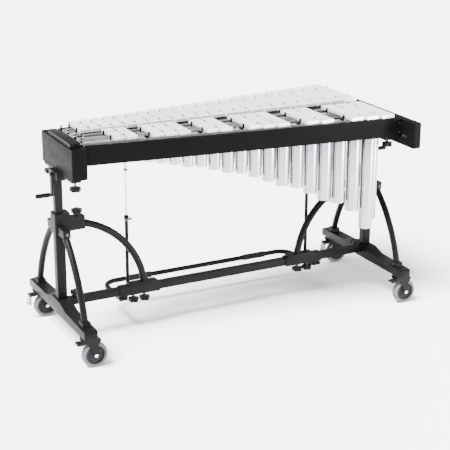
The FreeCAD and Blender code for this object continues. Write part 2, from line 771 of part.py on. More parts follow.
def belt(y, z):
    """Belt loop from the motor pulley to a fan pulley at y, z."""
    gap = size("belt_gap")
    thick = size("belt_thick")
    start = (size("motor_across"), size("motor_height"), size("motor_pulley_radius") + gap)
    end = (y, z, size("fan_pulley_radius") + gap)

    def loop(extra):
        """Face inside a loop round both pulleys."""
        r1 = start[2] + extra
        r2 = end[2] + extra
        dy = end[0] - start[0]
        dz = end[1] - start[1]
        reach = math.hypot(dy, dz)
        heading = math.atan2(dz, dy)
        lean = math.acos((r1 - r2) / reach)

        def at(centre, radius, angle):
            return FreeCAD.Vector(0, centre[0] + radius * math.cos(angle),
                                  centre[1] + radius * math.sin(angle))

        a1 = at(start, r1, heading + lean)
        a2 = at(start, r1, heading + math.pi)
        a3 = at(start, r1, heading - lean)
        b1 = at(end, r2, heading - lean)
        b2 = at(end, r2, heading)
        b3 = at(end, r2, heading + lean)
        edges = [Part.Arc(a1, a2, a3).toShape(), Part.LineSegment(a3, b1).toShape(),
                 Part.Arc(b1, b2, b3).toShape(), Part.LineSegment(b3, a1).toShape()]
        return Part.Face(Part.Wire(edges))

    ring = loop(thick).cut(loop(0))
    return ring.extrude(FreeCAD.Vector(4, 0, 0))


def build_drive():
    """Housing on the high cap, motor inside the cap, pulley, belts."""
    x1 = "housing_left"
    x2 = "housing_left + housing_wide"
    y1 = "housing_near"
    y2 = "housing_near + housing_long"
    shell = rounded(span(x1, x2, y1, y2, "cap_top", "cap_top + housing_tall"), "sleeve_wall", (0, 0, 1))
    hollow = span(x1 + " + 3", x2 + " - 3", y1 + " + 14", y2 + " - 3", "cap_top - 1",
                  "cap_top + housing_tall - 3")
    vents = []
    for slot in range(11):
        start = "%s + 24 + %d * 18" % (y1, slot)
        vents.append(span(x1 + " - 1", x1 + " + 4", start, start + " + 12", "cap_top + 5", "cap_top + 10"))
    inlet = rod("housing_left + housing_wide / 2", "housing_near - 1", "cap_top + housing_tall / 2",
                "inlet_radius", "11", ALONG_Y)
    node("drive_housing", less(shell, hollow, inlet, *vents))
    motor = rod("high_cap_left + 6", "motor_across", "motor_height", "motor_radius",
                "high_cap_right - high_cap_left - cap_wall - 6", ALONG_X)
    bore = rod("high_cap_right - cap_wall - 8", "motor_across", "motor_height",
               "shaft_radius + running_gap", "10", ALONG_X)
    node("drive_motor", less(motor, bore))
    node("motor_pulley", joined([
        rod("high_cap_right - cap_wall - 7", "motor_across", "motor_height", "shaft_radius", "26", ALONG_X),
        rod("high_cap_right + 3", "motor_across", "motor_height", "motor_pulley_radius", "14", ALONG_X)]))
    loops = []
    for line, shift in (("natural_bank", 4.5), ("accidental_bank", 11.5)):
        x = size("high_cap_right") + shift + 2
        y = size(line) + size(line + "_rise") * (x - size("bar_start")) / size("bar_span")
        loop = belt(y, size("shaft_height"))
        loop.translate(FreeCAD.Vector(x - 2, 0, 0))
        loops.append(loop)
    belts = doc.addObject("Part::Feature", "Belts")
    belts.Shape = Part.makeCompound(loops)
    node("drive_belts", belts)


# ---------------------------------------------------------------- damper and pedal

def build_damper():
    """Tapered plate under the inner bar ends, two felt strips, springs, upper rods."""
    x1 = "(bar_start - 3)"
    x2 = "(bar_start + bar_span)"
    corners = [(x1, "-6"), (x2, "-62"), (x2, "34"), (x1, "46")]
    plate = prism("XY_Plane", corners, "damper_thick")
    node("damper_bar", place(plate, 0, 0, "damper_low + damper_thick / 2"))
    low = "(damper_low + damper_thick)"
    felts = []
    for row, way in (("natural_near", 1), ("accidental_far", -1)):
        felts.append(strip(row, "bar_start + 4", "bar_start + bar_span - 5", "felt_wide", low,
                           "felt_top - %s" % low, "%d * 8" % way))
    node("damper_felt", grouped(felts))
    springs = []
    for x, y in ((-500, 16), (500, -6)):
        outside = rod(str(x), str(y), "rail_top - rail_tall", "7", "damper_low - rail_top + rail_tall")
        inside = rod(str(x), str(y), "rail_top - rail_tall - 1", "5", "20")
        springs.append(less(outside, inside))
    node("damper_springs", grouped(springs))
    node("upper_pedal_rods", grouped([rod("%d * rod_x" % side, "rod_y", "rod_low", "rod_radius",
                                          "damper_low - rod_low") for _, side in SIDES]))


def build_pedal():
    """Pedal arms on the pivots, one bent tube on the player's side, telescopic rod tubes."""
    arms = []
    tubes = []
    tube_pieces = []
    z = "pedal_pivot_z"
    for name, side in SIDES:
        corners = [("pedal_pivot_y - 12", z + " - 9"), ("pedal_arm_end", "pedal_bar_z - 10"),
                   ("pedal_arm_end", "pedal_bar_z + 10"), ("pedal_pivot_y + 40", z + " + 8"),
                   ("pedal_pivot_y - 12", z + " + 8")]
        plate = place(prism("YZ_Plane", corners, "pedal_arm_wide"), "%d * pedal_arm_x" % side)
        hole = side_rod(side, "pedal_arm_x - 20", "pedal_arm_x + 20", "pedal_pivot_y", z,
                        "pivot_radius + running_gap")
        pin = side_rod(side, "rod_x - 10", "pedal_arm_x", "rod_y", z, "rod_radius")
        arms.append(joined([less(plate, hole), pin]))
        tube_pieces.append(rod("%d * pedal_arm_x" % side, "pedal_arm_end", "pedal_bar_z", "pedal_bar_radius",
                               "pedal_bar_y - pedal_bend - pedal_arm_end", ALONG_Y))
        elbow = new("Part::Torus", Radius1="pedal_bend", Radius2="pedal_bar_radius", Angle3="90")
        tube_pieces.append(place(elbow, "%d * (pedal_arm_x - pedal_bend)" % side, "pedal_bar_y - pedal_bend",
                                 "pedal_bar_z", turned((0, 0, 1), 0 if side > 0 else 90)))
        sleeve = side_rod(side, "sleeve_x - sleeve_long / 2", "sleeve_x + sleeve_long / 2", "pedal_bar_y",
                          "pedal_bar_z", "pedal_bar_radius + 3")
        tube_pieces.append(sleeve)
        x = "(%d * rod_x)" % side
        body = joined([rod(x, "rod_y", z, "rod_tube_radius", "rod_tube_top - pedal_pivot_z"),
                       rod(x + " - 8", "rod_y", z, "9", "16", ALONG_X)])
        bore = rod(x, "rod_y", z + " + 20", "rod_radius + 0.5", "400")
        eye = rod(x + " - 12", "rod_y", z, "pivot_radius", "24", ALONG_X)
        screw = joined([rod(x, "rod_y - rod_tube_radius - 14", "rod_tube_top - 12", "3", "9", ALONG_Y),
                        block(x, "rod_y - rod_tube_radius - 15", "rod_tube_top - 18", "28", "4", "12"),
                        rod(x, "rod_y", "rod_tube_top - 22", "rod_tube_radius + 3", "20")])
        tubes.append(less(joined([body, screw]), bore, eye))
    node("pedal_arms", grouped(arms))
    straight = "(pedal_arm_x - pedal_bend)"
    tube_pieces.append(rod("-" + straight, "pedal_bar_y", "pedal_bar_z", "pedal_bar_radius",
                           "2 * " + straight, ALONG_X))
    node("pedal_bar", joined(tube_pieces))
    node("rod_tubes", grouped(tubes))


# ---------------------------------------------------------------- build, check, write

build_stand()
for caster in CASTERS:
    build_caster(*caster)
build_frame()
build_cranks()
build_bars()
build_resonators()
build_drive()
build_damper()
build_pedal()
doc.recompute()

faults = [item.Name + " " + item.getStatusString() for item in doc.Objects
          if "Invalid" in item.State or "Error" in item.State]
for item in nodes:
    if item.Shape.isNull() or not item.Shape.isValid() or not item.Shape.Solids:
        faults.append("bad shape: " + item.Label)
if faults:
    raise SystemExit("\n".join(faults))

os.makedirs("parts", exist_ok=True)
for item in nodes:
    item.Shape.exportStep("parts/" + item.Label + ".step")
print(len(nodes), "nodes,", sum(len(item.Shape.Solids) for item in nodes), "solids")
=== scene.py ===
import json
import math

import bmesh
import bpy
from mathutils import Matrix, Vector


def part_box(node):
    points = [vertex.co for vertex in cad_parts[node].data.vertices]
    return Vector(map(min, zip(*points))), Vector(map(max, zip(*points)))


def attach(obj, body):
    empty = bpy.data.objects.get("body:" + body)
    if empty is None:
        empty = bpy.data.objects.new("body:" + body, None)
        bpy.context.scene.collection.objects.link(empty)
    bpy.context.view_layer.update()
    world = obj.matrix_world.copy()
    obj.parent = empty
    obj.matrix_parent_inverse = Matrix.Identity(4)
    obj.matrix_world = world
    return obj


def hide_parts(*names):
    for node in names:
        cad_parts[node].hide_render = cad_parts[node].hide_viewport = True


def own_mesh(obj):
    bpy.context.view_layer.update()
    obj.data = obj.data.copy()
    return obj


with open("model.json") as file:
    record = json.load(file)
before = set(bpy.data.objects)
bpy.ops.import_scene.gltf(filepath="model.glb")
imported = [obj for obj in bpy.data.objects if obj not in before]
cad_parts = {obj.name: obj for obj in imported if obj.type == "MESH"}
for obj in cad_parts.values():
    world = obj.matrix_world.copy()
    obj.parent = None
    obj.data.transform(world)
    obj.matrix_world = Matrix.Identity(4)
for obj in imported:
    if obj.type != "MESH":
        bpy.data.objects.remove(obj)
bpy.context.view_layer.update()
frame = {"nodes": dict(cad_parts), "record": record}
SCENE = bpy.context.scene
MM = 0.001

SIDES = (("left", -1), ("right", 1))
CASTERS = ("near_left", "near_right", "far_left", "far_right")

# Places that several pieces share: leg posts, long beam, pedal rods and brake pivots.
POST_X = 703 * MM
BEAM_Y = -7 * MM
ROD_X = 414 * MM
ROD_Y = 24 * MM
BRAKE_Z = 104 * MM

# How far the grain of a surface stands out.
COAT_RELIEF = 0.12 * MM
METAL_RELIEF = 0.06 * MM
FIBRE_RELIEF = 0.5 * MM

# Outlines are drawn in X and Y. These stand them up, with their thickness along Y or along X.
THICK_IN_Y = Matrix(((1, 0, 0, 0), (0, 0, 1, 0), (0, 1, 0, 0), (0, 0, 0, 1)))
THICK_IN_X = Matrix(((0, 0, 1, 0), (1, 0, 0, 0), (0, 1, 0, 0), (0, 0, 0, 1)))


# ---------------------------------------------------------------- materials

def principled(name, color, metallic, roughness, **sockets):
    """A material with plain values on the shader's own sockets. Returns material, nodes, links and shader."""
    material = bpy.data.materials.new(name)
    material.use_nodes = True
    nodes = material.node_tree.nodes
    shader = nodes["Principled BSDF"]
    shader.inputs["Base Color"].default_value = (*color, 1)
    shader.inputs["Metallic"].default_value = metallic
    shader.inputs["Roughness"].default_value = roughness
    for socket, value in sockets.items():
        shader.inputs[socket.replace("_", " ")].default_value = value
    return material, nodes, material.node_tree.links, shader


def noise(nodes, links, scale, detail, stretch=(1, 1, 1)):
    """Noise in object space, in metres, stretched along the axes."""
    place = nodes.new("ShaderNodeTexCoord")
    mapping = nodes.new("ShaderNodeMapping")
    mapping.inputs["Scale"].default_value = stretch
    texture = nodes.new("ShaderNodeTexNoise")
    texture.inputs["Scale"].default_value = scale
    texture.inputs["Detail"].default_value = detail
    links.new(place.outputs["Object"], mapping.inputs["Vector"])
    links.new(mapping.outputs["Vector"], texture.inputs["Vector"])
    return texture.outputs["Fac"]


def ramp(nodes, links, factor, low, high):
    """Colours or grey values spread over the middle of a noise, where most of its values lie."""
    made = nodes.new("ShaderNodeValToRGB")
    for element, position, value in zip(made.color_ramp.elements, (0.3, 0.7), (low, high)):
        element.position = position
        element.color = value if isinstance(value, tuple) else (value, value, value, 1)
    links.new(factor, made.inputs["Fac"])
    return made.outputs["Color"]


def shades(color, darker, lighter):
    """A colour scaled down and up, as the two ends of a ramp."""
    low = tuple(c * darker for c in color) + (1,)
    high = tuple(min(1, c * lighter) for c in color) + (1,)
    return low, high


def bump(nodes, links, shader, height, strength, distance):
    """Relief on a surface, as high as a distance in metres."""
    made = nodes.new("ShaderNodeBump")
    made.inputs["Strength"].default_value = strength
    made.inputs["Distance"].default_value = distance
    links.new(height, made.inputs["Height"])
    links.new(made.outputs["Normal"], shader.inputs["Normal"])


def coated(name, color, roughness, grain=1400, depth=0.25, shine=0.07):
    """Painted or moulded surface: fine grain, faint cloudiness in colour and gloss."""
    material, nodes, links, shader = principled(name, color, 0.0, roughness, Specular_IOR_Level=shine)
    spread = 0.05
    cloud = noise(nodes, links, scale=9, detail=4)
    gloss = noise(nodes, links, scale=34, detail=5)
    links.new(ramp(nodes, links, cloud, *shades(color, 0.86, 1.14)), shader.inputs["Base Color"])
    links.new(ramp(nodes, links, gloss, roughness - spread, roughness + spread), shader.inputs["Roughness"])
    bump(nodes, links, shader, noise(nodes, links, grain, detail=2), depth, COAT_RELIEF)
    return material


def metal(name, color, roughness, stretch=(1, 1, 1), scale=260, depth=0.06, spread=0.05, metallic=1.0):
    """Bare metal with fine directional finishing marks."""
    material, nodes, links, shader = principled(name, color, metallic, roughness)
    marks = noise(nodes, links, scale, 4, stretch)
    cloud = noise(nodes, links, scale=6, detail=3)
    links.new(ramp(nodes, links, marks, roughness - spread, roughness + spread), shader.inputs["Roughness"])
    links.new(ramp(nodes, links, cloud, *shades(color, 0.95, 1.03)), shader.inputs["Base Color"])
    bump(nodes, links, shader, marks, depth, METAL_RELIEF)
    return material


def woven(name, color, scale):
    """Felt or braid: matte fibres with sheen."""
    material, nodes, links, shader = principled(name, color, 0.0, 0.95, Sheen_Weight=0.5)
    fibre = noise(nodes, links, scale, detail=6)
    links.new(ramp(nodes, links, fibre, *shades(color, 0.6, 1.5)), shader.inputs["Base Color"])
    bump(nodes, links, shader, fibre, 0.7, FIBRE_RELIEF)
    return material


# The material slots of the record, then the looks that only single pieces have.
LOOK = {
    "black_frame": coated("satin_black_coat", (0.0032, 0.0033, 0.0036), 0.42),
    "inner_post": coated("inner_post_black", (0.0045, 0.0047, 0.0052), 0.36),
    "black_plastic": coated("moulded_black", (0.0026, 0.0026, 0.0028), 0.36, grain=2200, depth=0.3),
    "bolts": metal("black_oxide_steel", (0.05, 0.05, 0.053), 0.38, metallic=0.8),
    "bars": metal("satin_silver_bar", (0.92, 0.93, 0.955), 0.34, stretch=(26, 1, 6), scale=60, depth=0.10,
                  metallic=0.55),
    "tubes": metal("polished_tube", (0.36, 0.364, 0.385), 0.22, stretch=(1, 1, 14), scale=70, depth=0.03,
                   spread=0.03),
    "rails": metal("satin_rail", (0.62, 0.63, 0.64), 0.36, stretch=(1, 30, 30), scale=30, metallic=0.9),
    "bar_posts": coated("post_black", (0.003, 0.003, 0.0032), 0.32, grain=2600, depth=0.1),
    "cord": woven("braided_cord", (0.10, 0.10, 0.105), 2600),
    "motor": metal("zinc_case", (0.55, 0.55, 0.56), 0.33),
    "belts": coated("belt_rubber", (0.012, 0.012, 0.012), 0.62),
    "cranks": coated("crank_black", (0.005, 0.005, 0.0055), 0.34),
    "fans": metal("fan_aluminium", (0.70, 0.70, 0.72), 0.30),
    "damper": coated("damper_black", (0.005, 0.005, 0.0055), 0.45),
    "felt": woven("dark_felt", (0.010, 0.010, 0.011), 900),
    "springs": metal("spring_steel", (0.60, 0.60, 0.62), 0.25),
    "rods": metal("plated_rod", (0.50, 0.51, 0.53), 0.24, stretch=(1, 1, 12)),
    "caster_fork": coated("fork_grey", (0.0065, 0.0068, 0.0075), 0.40, grain=2000),
    "caster_hub": coated("hub_grey", (0.018, 0.019, 0.021), 0.42, grain=2000),
    "tyre": coated("tyre_grey", (0.105, 0.108, 0.114), 0.62, grain=1600, depth=0.4),
    "black_panel": coated("satin_black_panel", (0.0020, 0.0021, 0.0023), 0.48, grain=900, shine=0.03),
    "pale_pad": coated("pad_pale_grey", (0.30, 0.305, 0.315), 0.55, grain=1600),
    "bright_bolt": metal("zinc_bolt", (0.86, 0.86, 0.87), 0.22),
    # Near-black: the real dark joint under the left end cap, and painted shade on the sheet in the bar-row
    # gaps.
    "joint_and_shade_black": coated("shadow_gap_black", (0.004, 0.004, 0.004), 0.7),
}


# ---------------------------------------------------------------- pieces from CAD nodes

def finish_piece(bm, name, body, slot, replaces=(), look=None, smooth=35):
    """Turn a bmesh into a named piece on a body, with its finish."""
    bmesh.ops.recalc_face_normals(bm, faces=bm.faces)
    mesh = bpy.data.meshes.new(name)
    bm.to_mesh(mesh)
    bm.free()
    made = bpy.data.objects.new(name, mesh)
    SCENE.collection.objects.link(made)
    mesh.shade_smooth()
    mesh.set_sharp_from_angle(angle=math.radians(smooth))
    mesh.materials.append(LOOK[look or slot])
    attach(made, body)
    if replaces:
        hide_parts(*replaces)
    return made


def node_bmesh(node):
    """A CAD node's surface, with its vertices joined."""
    bm = bmesh.new()
    bm.from_mesh(frame["nodes"][node].data)
    bmesh.ops.remove_doubles(bm, verts=bm.verts, dist=1e-5)
    return bm


def bevel_sharp(bm, width, segments=3, angle=40):
    """Round every edge sharper than an angle."""
    limit = math.radians(angle)
    sharp = [e for e in bm.edges if len(e.link_faces) == 2 and e.calc_face_angle(0) > limit]
    if sharp:
        bmesh.ops.bevel(bm, geom=sharp, offset=width, segments=segments, profile=0.5, affect="EDGES",
                        clamp_overlap=True)


def softened(node, body, slot, width, look=None, segments=3):
    """A CAD node's shape with its flat faces whole again and its edges rounded as made."""
    bm = node_bmesh(node)
    bmesh.ops.dissolve_limit(bm, angle_limit=math.radians(0.6), verts=bm.verts, edges=bm.edges)
    bevel_sharp(bm, width, segments)
    finish_piece(bm, node + "_finished", body, slot, (node,), look)


def islands(node):
    """The separate solids of a CAD node, as lists of points, from the left."""
    bm = node_bmesh(node)
    seen = set()
    groups = []
    for first in bm.verts:
        if first in seen:
            continue
        group = []
        queue = [first]
        seen.add(first)
        while queue:
            vert = queue.pop()
            group.append(vert.co.copy())
            for edge in vert.link_edges:
                other = edge.other_vert(vert)
                if other not in seen:
                    seen.add(other)
                    queue.append(other)
        groups.append(group)
    bm.free()
    return sorted(groups, key=lambda points: sum(p.x for p in points) / len(points))


def corners(points):
    """Lowest and highest corner of a list of points."""
    low = Vector(min(p[axis] for p in points) for axis in range(3))
    high = Vector(max(p[axis] for p in points) for axis in range(3))
    return low, high


def line_of(points):
    """Ends and height of a solid that runs along a slanted line."""
    low, high = corners(points)
    reach = 4 * MM
    ends = []
    for x in (low.x, high.x):
        near = [p for p in points if abs(p.x - x) < reach]
        ends.append(Vector((x, sum(p.y for p in near) / len(near), (low.z + high.z) / 2)))
    return ends[0], ends[1], high.z - low.z


def y_on(start, end, x):
    """Where the line through two points passes a place in X."""
    slope = (end.y - start.y) / (end.x - start.x)
    return start.y + slope * (x - start.x)


# ---------------------------------------------------------------- mesh helpers

def arc(radius, first, last, steps, centre=(0, 0)):
    """Points of an arc in a plane, from one angle to another, in degrees."""
    points = []
    for i in range(steps + 1):
        angle = math.radians(first + (last - first) * i / steps)
        points.append((centre[0] + radius * math.cos(angle), centre[1] + radius * math.sin(angle)))
    return points


def arc_points(centre, radius, first, last, across, upward, steps=36):
    """Points of an arc in space, from one angle to another, in the plane of two directions."""
    points = []
    for i in range(steps + 1):
        angle = math.radians(first + (last - first) * i / steps)
        points.append(Vector(centre) + Vector(across) * radius * math.cos(angle)
                      + Vector(upward) * radius * math.sin(angle))
    return points


def smooth_path(points, steps=8):
    """Catmull-Rom curve through points."""
    points = [Vector(p) for p in points]
    padded = [points[0] * 2 - points[1]] + points + [points[-1] * 2 - points[-2]]
    out = []
    for a, b, c, d in zip(padded, padded[1:], padded[2:], padded[3:]):
        for i in range(steps):
            t = i / steps
            out.append(0.5 * (2 * b + (c - a) * t + (2 * a - 5 * b + 4 * c - d) * t * t
                              + (3 * b - a - 3 * c + d) * t * t * t))
    out.append(points[-1])
    return out


def mirrored(profile):
    """A profile followed by its own reflection below the middle plane."""
    return profile + [(radius, -height) for radius, height in reversed(profile)]


def merge(bm, other):
    """Move another bmesh into this one."""
    mesh = bpy.data.meshes.new("part")
    other.to_mesh(mesh)
    other.free()
    bm.from_mesh(mesh)
    bpy.data.meshes.remove(mesh)


def add_box(bm, low, high):
    """An axis-aligned box between two corners."""
    centre = (Vector(low) + Vector(high)) / 2
    size = Vector(high) - Vector(low)
    matrix = Matrix.Translation(centre) @ Matrix.Diagonal((*size, 1))
    bmesh.ops.create_cube(bm, size=1, matrix=matrix)


def add_outline(bm, points, thickness, matrix):
    """A closed outline in X and Y, made into a plate of some thickness about its plane, then placed."""
    lower = [bm.verts.new(matrix @ Vector((x, y, -thickness / 2))) for x, y in points]
    upper = [bm.verts.new(matrix @ Vector((x, y, thickness / 2))) for x, y in points]
    total = len(points)
    bm.faces.new(lower[::-1])
    bm.faces.new(upper)
    for i in range(total):
        j = (i + 1) % total
        bm.faces.new((lower[i], lower[j], upper[j], upper[i]))


def add_section(bm, start, end, outline):
    """Extrude an outline of (across, up) along a level line."""
    along = end - start
    heading = Matrix.Rotation(math.atan2(along.y, along.x), 4, "Z")
    upright = Matrix(((0, 0, 1, 0), (-1, 0, 0, 0), (0, 1, 0, 0), (0, 0, 0, 1)))
    turn = heading @ upright
    add_outline(bm, outline, along.length, Matrix.Translation((start + end) / 2) @ turn)


def turn_to(direction):
    """Rotation that takes +Z to a direction."""
    return Vector((0, 0, 1)).rotation_difference(Vector(direction)).to_matrix().to_4x4()


def add_lathe(bm, profile, centre, direction=(0, 0, 1), sides=40, closed=False):
    """Turn a profile of (radius, height) about a direction through a centre."""
    matrix = Matrix.Translation(Vector(centre)) @ turn_to(direction)
    rings = []
    for radius, height in profile:
        if radius < 1e-7:
            rings.append([bm.verts.new(matrix @ Vector((0, 0, height)))])
            continue
        ring = []
        for i in range(sides):
            angle = 2 * math.pi * i / sides
            spot = Vector((radius * math.cos(angle), radius * math.sin(angle), height))
            ring.append(bm.verts.new(matrix @ spot))
        rings.append(ring)
    pairs = list(zip(rings, rings[1:]))
    if closed:
        pairs.append((rings[-1], rings[0]))
    for one, two in pairs:
        for i in range(sides):
            j = (i + 1) % sides
            if len(one) == 1:
                bm.faces.new((one[0], two[j], two[i]))
            elif len(two) == 1:
                bm.faces.new((one[i], one[j], two[0]))
            else:
                bm.faces.new((one[i], one[j], two[j], two[i]))


def rounded_disc(radius, low, high, edge):
    """Profile of a solid turned part with rounded rims."""
    steps = 4
    quarter = [math.pi / 2 * i / steps for i in range(steps + 1)]
    lower = [(radius - edge + edge * math.sin(turn), low + edge - edge * math.cos(turn)) for turn in quarter]
    upper = [(radius - edge + edge * math.cos(turn), high - edge + edge * math.sin(turn)) for turn in quarter]
    return [(0, low)] + lower + upper + [(0, high)]


def add_tube(bm, path, radius, sides=20):
    """A round bar swept along points, with its frame carried along, closed at both ends."""
    points = [Vector(p) for p in path]
    rings = []
    normal = None
    for i, point in enumerate(points):
        before = points[max(i - 1, 0)]
        after = points[min(i + 1, len(points) - 1)]
        tangent = (after - before).normalized()
        if normal is None:
            normal = tangent.orthogonal().normalized()
        normal = (normal - tangent * normal.dot(tangent)).normalized()
        side = tangent.cross(normal)
        ring = []
        for k in range(sides):
            angle = 2 * math.pi * k / sides
            ring.append(bm.verts.new(point + (normal * math.cos(angle) + side * math.sin(angle)) * radius))
        rings.append(ring)
    for one, two in zip(rings, rings[1:]):
        for k in range(sides):
            j = (k + 1) % sides
            bm.faces.new((one[k], one[j], two[j], two[k]))
    bm.faces.new(rings[0][::-1])
    bm.faces.new(rings[-1])


def add_screw(bm, centre, direction, radius, height=1.8 * MM):
    """Cap-head screw: rounded rim and a hexagon recess."""
    add_lathe(bm, [(radius * 0.45, height * 0.4), (radius * 0.55, height), (radius * 0.85, height),
                   (radius, height * 0.75), (radius, 0), (0, 0)], centre, direction, 24)
    add_lathe(bm, [(0, height * 0.35), (radius * 0.47, height * 0.4)], centre, direction, 6)


# ---------------------------------------------------------------- bars and rails

def bar_mesh(bm, low, high):
    """A bar, with the tuning arch cut out underneath."""
    half = (high.y - low.y) * 0.24
    depth = 3.6 * MM
    middle = (low.y + high.y) / 2
    steps = 10
    outline = [(low.y, low.z), (low.y, high.z), (high.y, high.z), (high.y, low.z)]
    for i in range(steps + 1):
        share = 1 - 2 * i / steps
        outline.append((middle + half * share, low.z + depth * math.sqrt(max(0.0, 1 - share * share))))
    matrix = Matrix.Translation(((low.x + high.x) / 2, 0, 0)) @ THICK_IN_X
    add_outline(bm, outline, high.x - low.x, matrix)


def build_bars():
    """Both rows of bars, with rounded edges and soft corners."""
    for node in ("natural_bars", "accidental_bars"):
        row = node.split("_")[0]
        for number, points in enumerate(islands(node), start=1):
            bm = bmesh.new()
            bar_mesh(bm, *corners(points))
            bevel_sharp(bm, 0.9 * MM, 3, 60)
            piece = finish_piece(bm, "%s_bar_%02d" % (row, number), "keyboard", "bars", smooth=30)
            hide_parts(node)


def rails_from_near():
    """The four bar rails, from the near one."""
    return sorted(islands("bar_rails"), key=lambda points: corners(points)[0].y)


def build_rails():
    """Extruded rails: the near rail of each row has a grooved flange on its web, the far rail has none."""
    web = 3.0 * MM
    flange = 9.0 * MM
    groove = 1.2 * MM
    with_flange = (1, 3)
    for number, points in enumerate(rails_from_near(), start=1):
        start, end, tall = line_of(points)
        up = tall / 2
        wide = flange if number in with_flange else web
        half = [(web, -up), (web, up - 7 * MM), (wide, up - 6 * MM), (wide, up - 1.6 * MM),
                (wide - 0.4 * MM, up), (wide * 0.62, up), (wide * 0.58, up - groove),
                (wide * 0.42, up - groove), (wide * 0.38, up)]
        outline = half + [(-x, y) for x, y in reversed(half)]
        bm = bmesh.new()
        add_section(bm, start, end, outline)
        piece = finish_piece(bm, "bar_rail_%d" % number, "keyboard", "rails", smooth=25)
        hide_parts("bar_rails")


def build_posts():
    """Bar posts: a stem on the rail and a rubber sleeve with a domed head between the bars."""
    foot = 3.0 * MM
    stem = 1.9 * MM
    rubber = 3.4 * MM
    bar_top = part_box("natural_bars")[1].z
    bm = bmesh.new()
    for points in islands("bar_posts"):
        low, high = corners(points)
        centre = (low + high) / 2
        base = Vector((centre.x, centre.y, low.z))
        sleeve = high.z - 7 * MM - low.z
        head = bar_top + 2.4 * MM - low.z
        add_lathe(bm, [(0, 0), (foot, 0), (foot, 1.4 * MM), (stem, 2.2 * MM), (stem, sleeve),
                       (rubber, sleeve + 1 * MM), (rubber, head - 2.4 * MM), (3.0 * MM, head - 0.9 * MM),
                       (1.8 * MM, head - 0.1 * MM), (0, head)], base, sides=16)
    finish_piece(bm, "bar_post_set", "keyboard", "bar_posts", ("bar_posts",))


def build_anchors():
    """Cord anchors on both ends of every rail: a black post with a bright ring."""
    left_inset = 14 * MM
    right_inset = left_inset * 0.6
    post = rounded_disc(4.6 * MM, -6 * MM, 16 * MM, edge=1 * MM)
    ring = rounded_disc(5.4 * MM, 8 * MM, 11 * MM, edge=0.8 * MM)
    posts = bmesh.new()
    rings = bmesh.new()
    for points in islands("bar_rails"):
        start, end, tall = line_of(points)
        along = (end - start).normalized()
        for place in (start + along * left_inset, end - along * right_inset):
            foot = place + Vector((0, 0, tall / 2))
            add_lathe(posts, post, foot, sides=20)
            add_lathe(rings, ring, foot, sides=24)
    finish_piece(posts, "cord_anchors", "keyboard", "bar_posts")
    finish_piece(rings, "anchor_rings", "keyboard", "rails", look="bright_bolt")


def build_painted_gap_shades_and_clips():
    """In the gaps between the groups of accidental bars: a dark sheet between the rails as painted shade,
    and a clip on the near rail."""
    least_gap = 20 * MM
    clear_of_bars = 10 * MM
    clear_of_rail = 3.2 * MM
    clip_inset = 12 * MM
    near, far = rails_from_near()[:2]
    near_start, near_end, tall = line_of(near)
    far_start, far_end, _ = line_of(far)
    sheet_z = near_start.z - tall / 2 + 1.2 * MM
    rail_top = near_start.z + tall / 2
    gap_shades = bmesh.new()
    clips = bmesh.new()
    bars = [corners(points) for points in islands("accidental_bars")]
    for (_, left_high), (right_low, _) in zip(bars, bars[1:]):
        if right_low.x - left_high.x < least_gap:
            continue
        ends = (left_high.x + clear_of_bars, right_low.x - clear_of_bars)
        near_edge = [(x, y_on(near_start, near_end, x) + clear_of_rail) for x in ends]
        far_edge = [(x, y_on(far_start, far_end, x) - clear_of_rail) for x in reversed(ends)]
        # A dark sheet as painted shade, seen through the gaps between bars.
        add_outline(gap_shades, near_edge + far_edge, 1.6 * MM, Matrix.Translation((0, 0, sheet_z)))
        x = right_low.x - clip_inset
        y = y_on(near_start, near_end, x)
        add_box(clips, (x - 8 * MM, y - 10 * MM, rail_top - 2 * MM),
                (x + 4 * MM, y + 10 * MM, rail_top + 6 * MM))
    bevel_sharp(clips, 1.5 * MM, 2, 50)
    finish_piece(clips, "rail_clips", "keyboard", "black_plastic")
    # The sheet is painted shade, not a real part.
    finish_piece(gap_shades, "painted_gap_shade", "keyboard", "black_plastic", look="joint_and_shade_black")


# ---------------------------------------------------------------- resonators

def build_tubes():
    """Open polished tubes with a rolled rim above and a recessed stopper below."""
    wall = 1.4 * MM
    stopper_low = 5 * MM
    stopper_high = 8 * MM
    for node in ("natural_resonators", "accidental_resonators"):
        row = node.split("_")[0]
        for number, points in enumerate(islands(node), start=1):
            low, high = corners(points)
            radius = (high.x - low.x) / 2
            bore = radius - wall
            centre = Vector(((low.x + high.x) / 2, (low.y + high.y) / 2, low.z))
            tall = high.z - low.z
            profile = [(0, stopper_low), (radius - 3.2 * MM, stopper_low), (radius - 2.4 * MM, 4 * MM),
                       (bore, 1.4 * MM), (bore, 0.4 * MM), (radius - 0.5 * MM, 0),
                       (radius, 0.5 * MM), (radius, tall - 1.6 * MM), (radius - 0.4 * MM, tall - 0.4 * MM),
                       (radius - 0.9 * MM, tall), (bore - 0.3 * MM, tall - 0.8 * MM),
                       (bore, tall - 2.4 * MM), (bore, stopper_high), (0, stopper_high)]
            bm = bmesh.new()
            add_lathe(bm, profile, centre, sides=48)
            piece = finish_piece(bm, "%s_tube_%02d" % (row, number), "keyboard", "tubes", smooth=40)
            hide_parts(node)


def build_slant_tie():
    """Thin dark tie bar on the back of the accidental tubes, from the foot of one tube to another's."""
    radius = 1.5 * MM
    above_foot = 22 * MM
    tied_tubes = (11, 19)
    tubes = [corners(points) for points in islands("accidental_resonators")]
    ends = []
    for index in tied_tubes:
        low, high = tubes[index]
        ends.append(Vector(((low.x + high.x) / 2, high.y + 1.6 * MM, low.z + above_foot)))
    bm = bmesh.new()
    add_tube(bm, ends, radius, 10)
    finish_piece(bm, "slant_tie_rod", "keyboard", "bolts", look="bolts")


# ---------------------------------------------------------------- keyboard frame

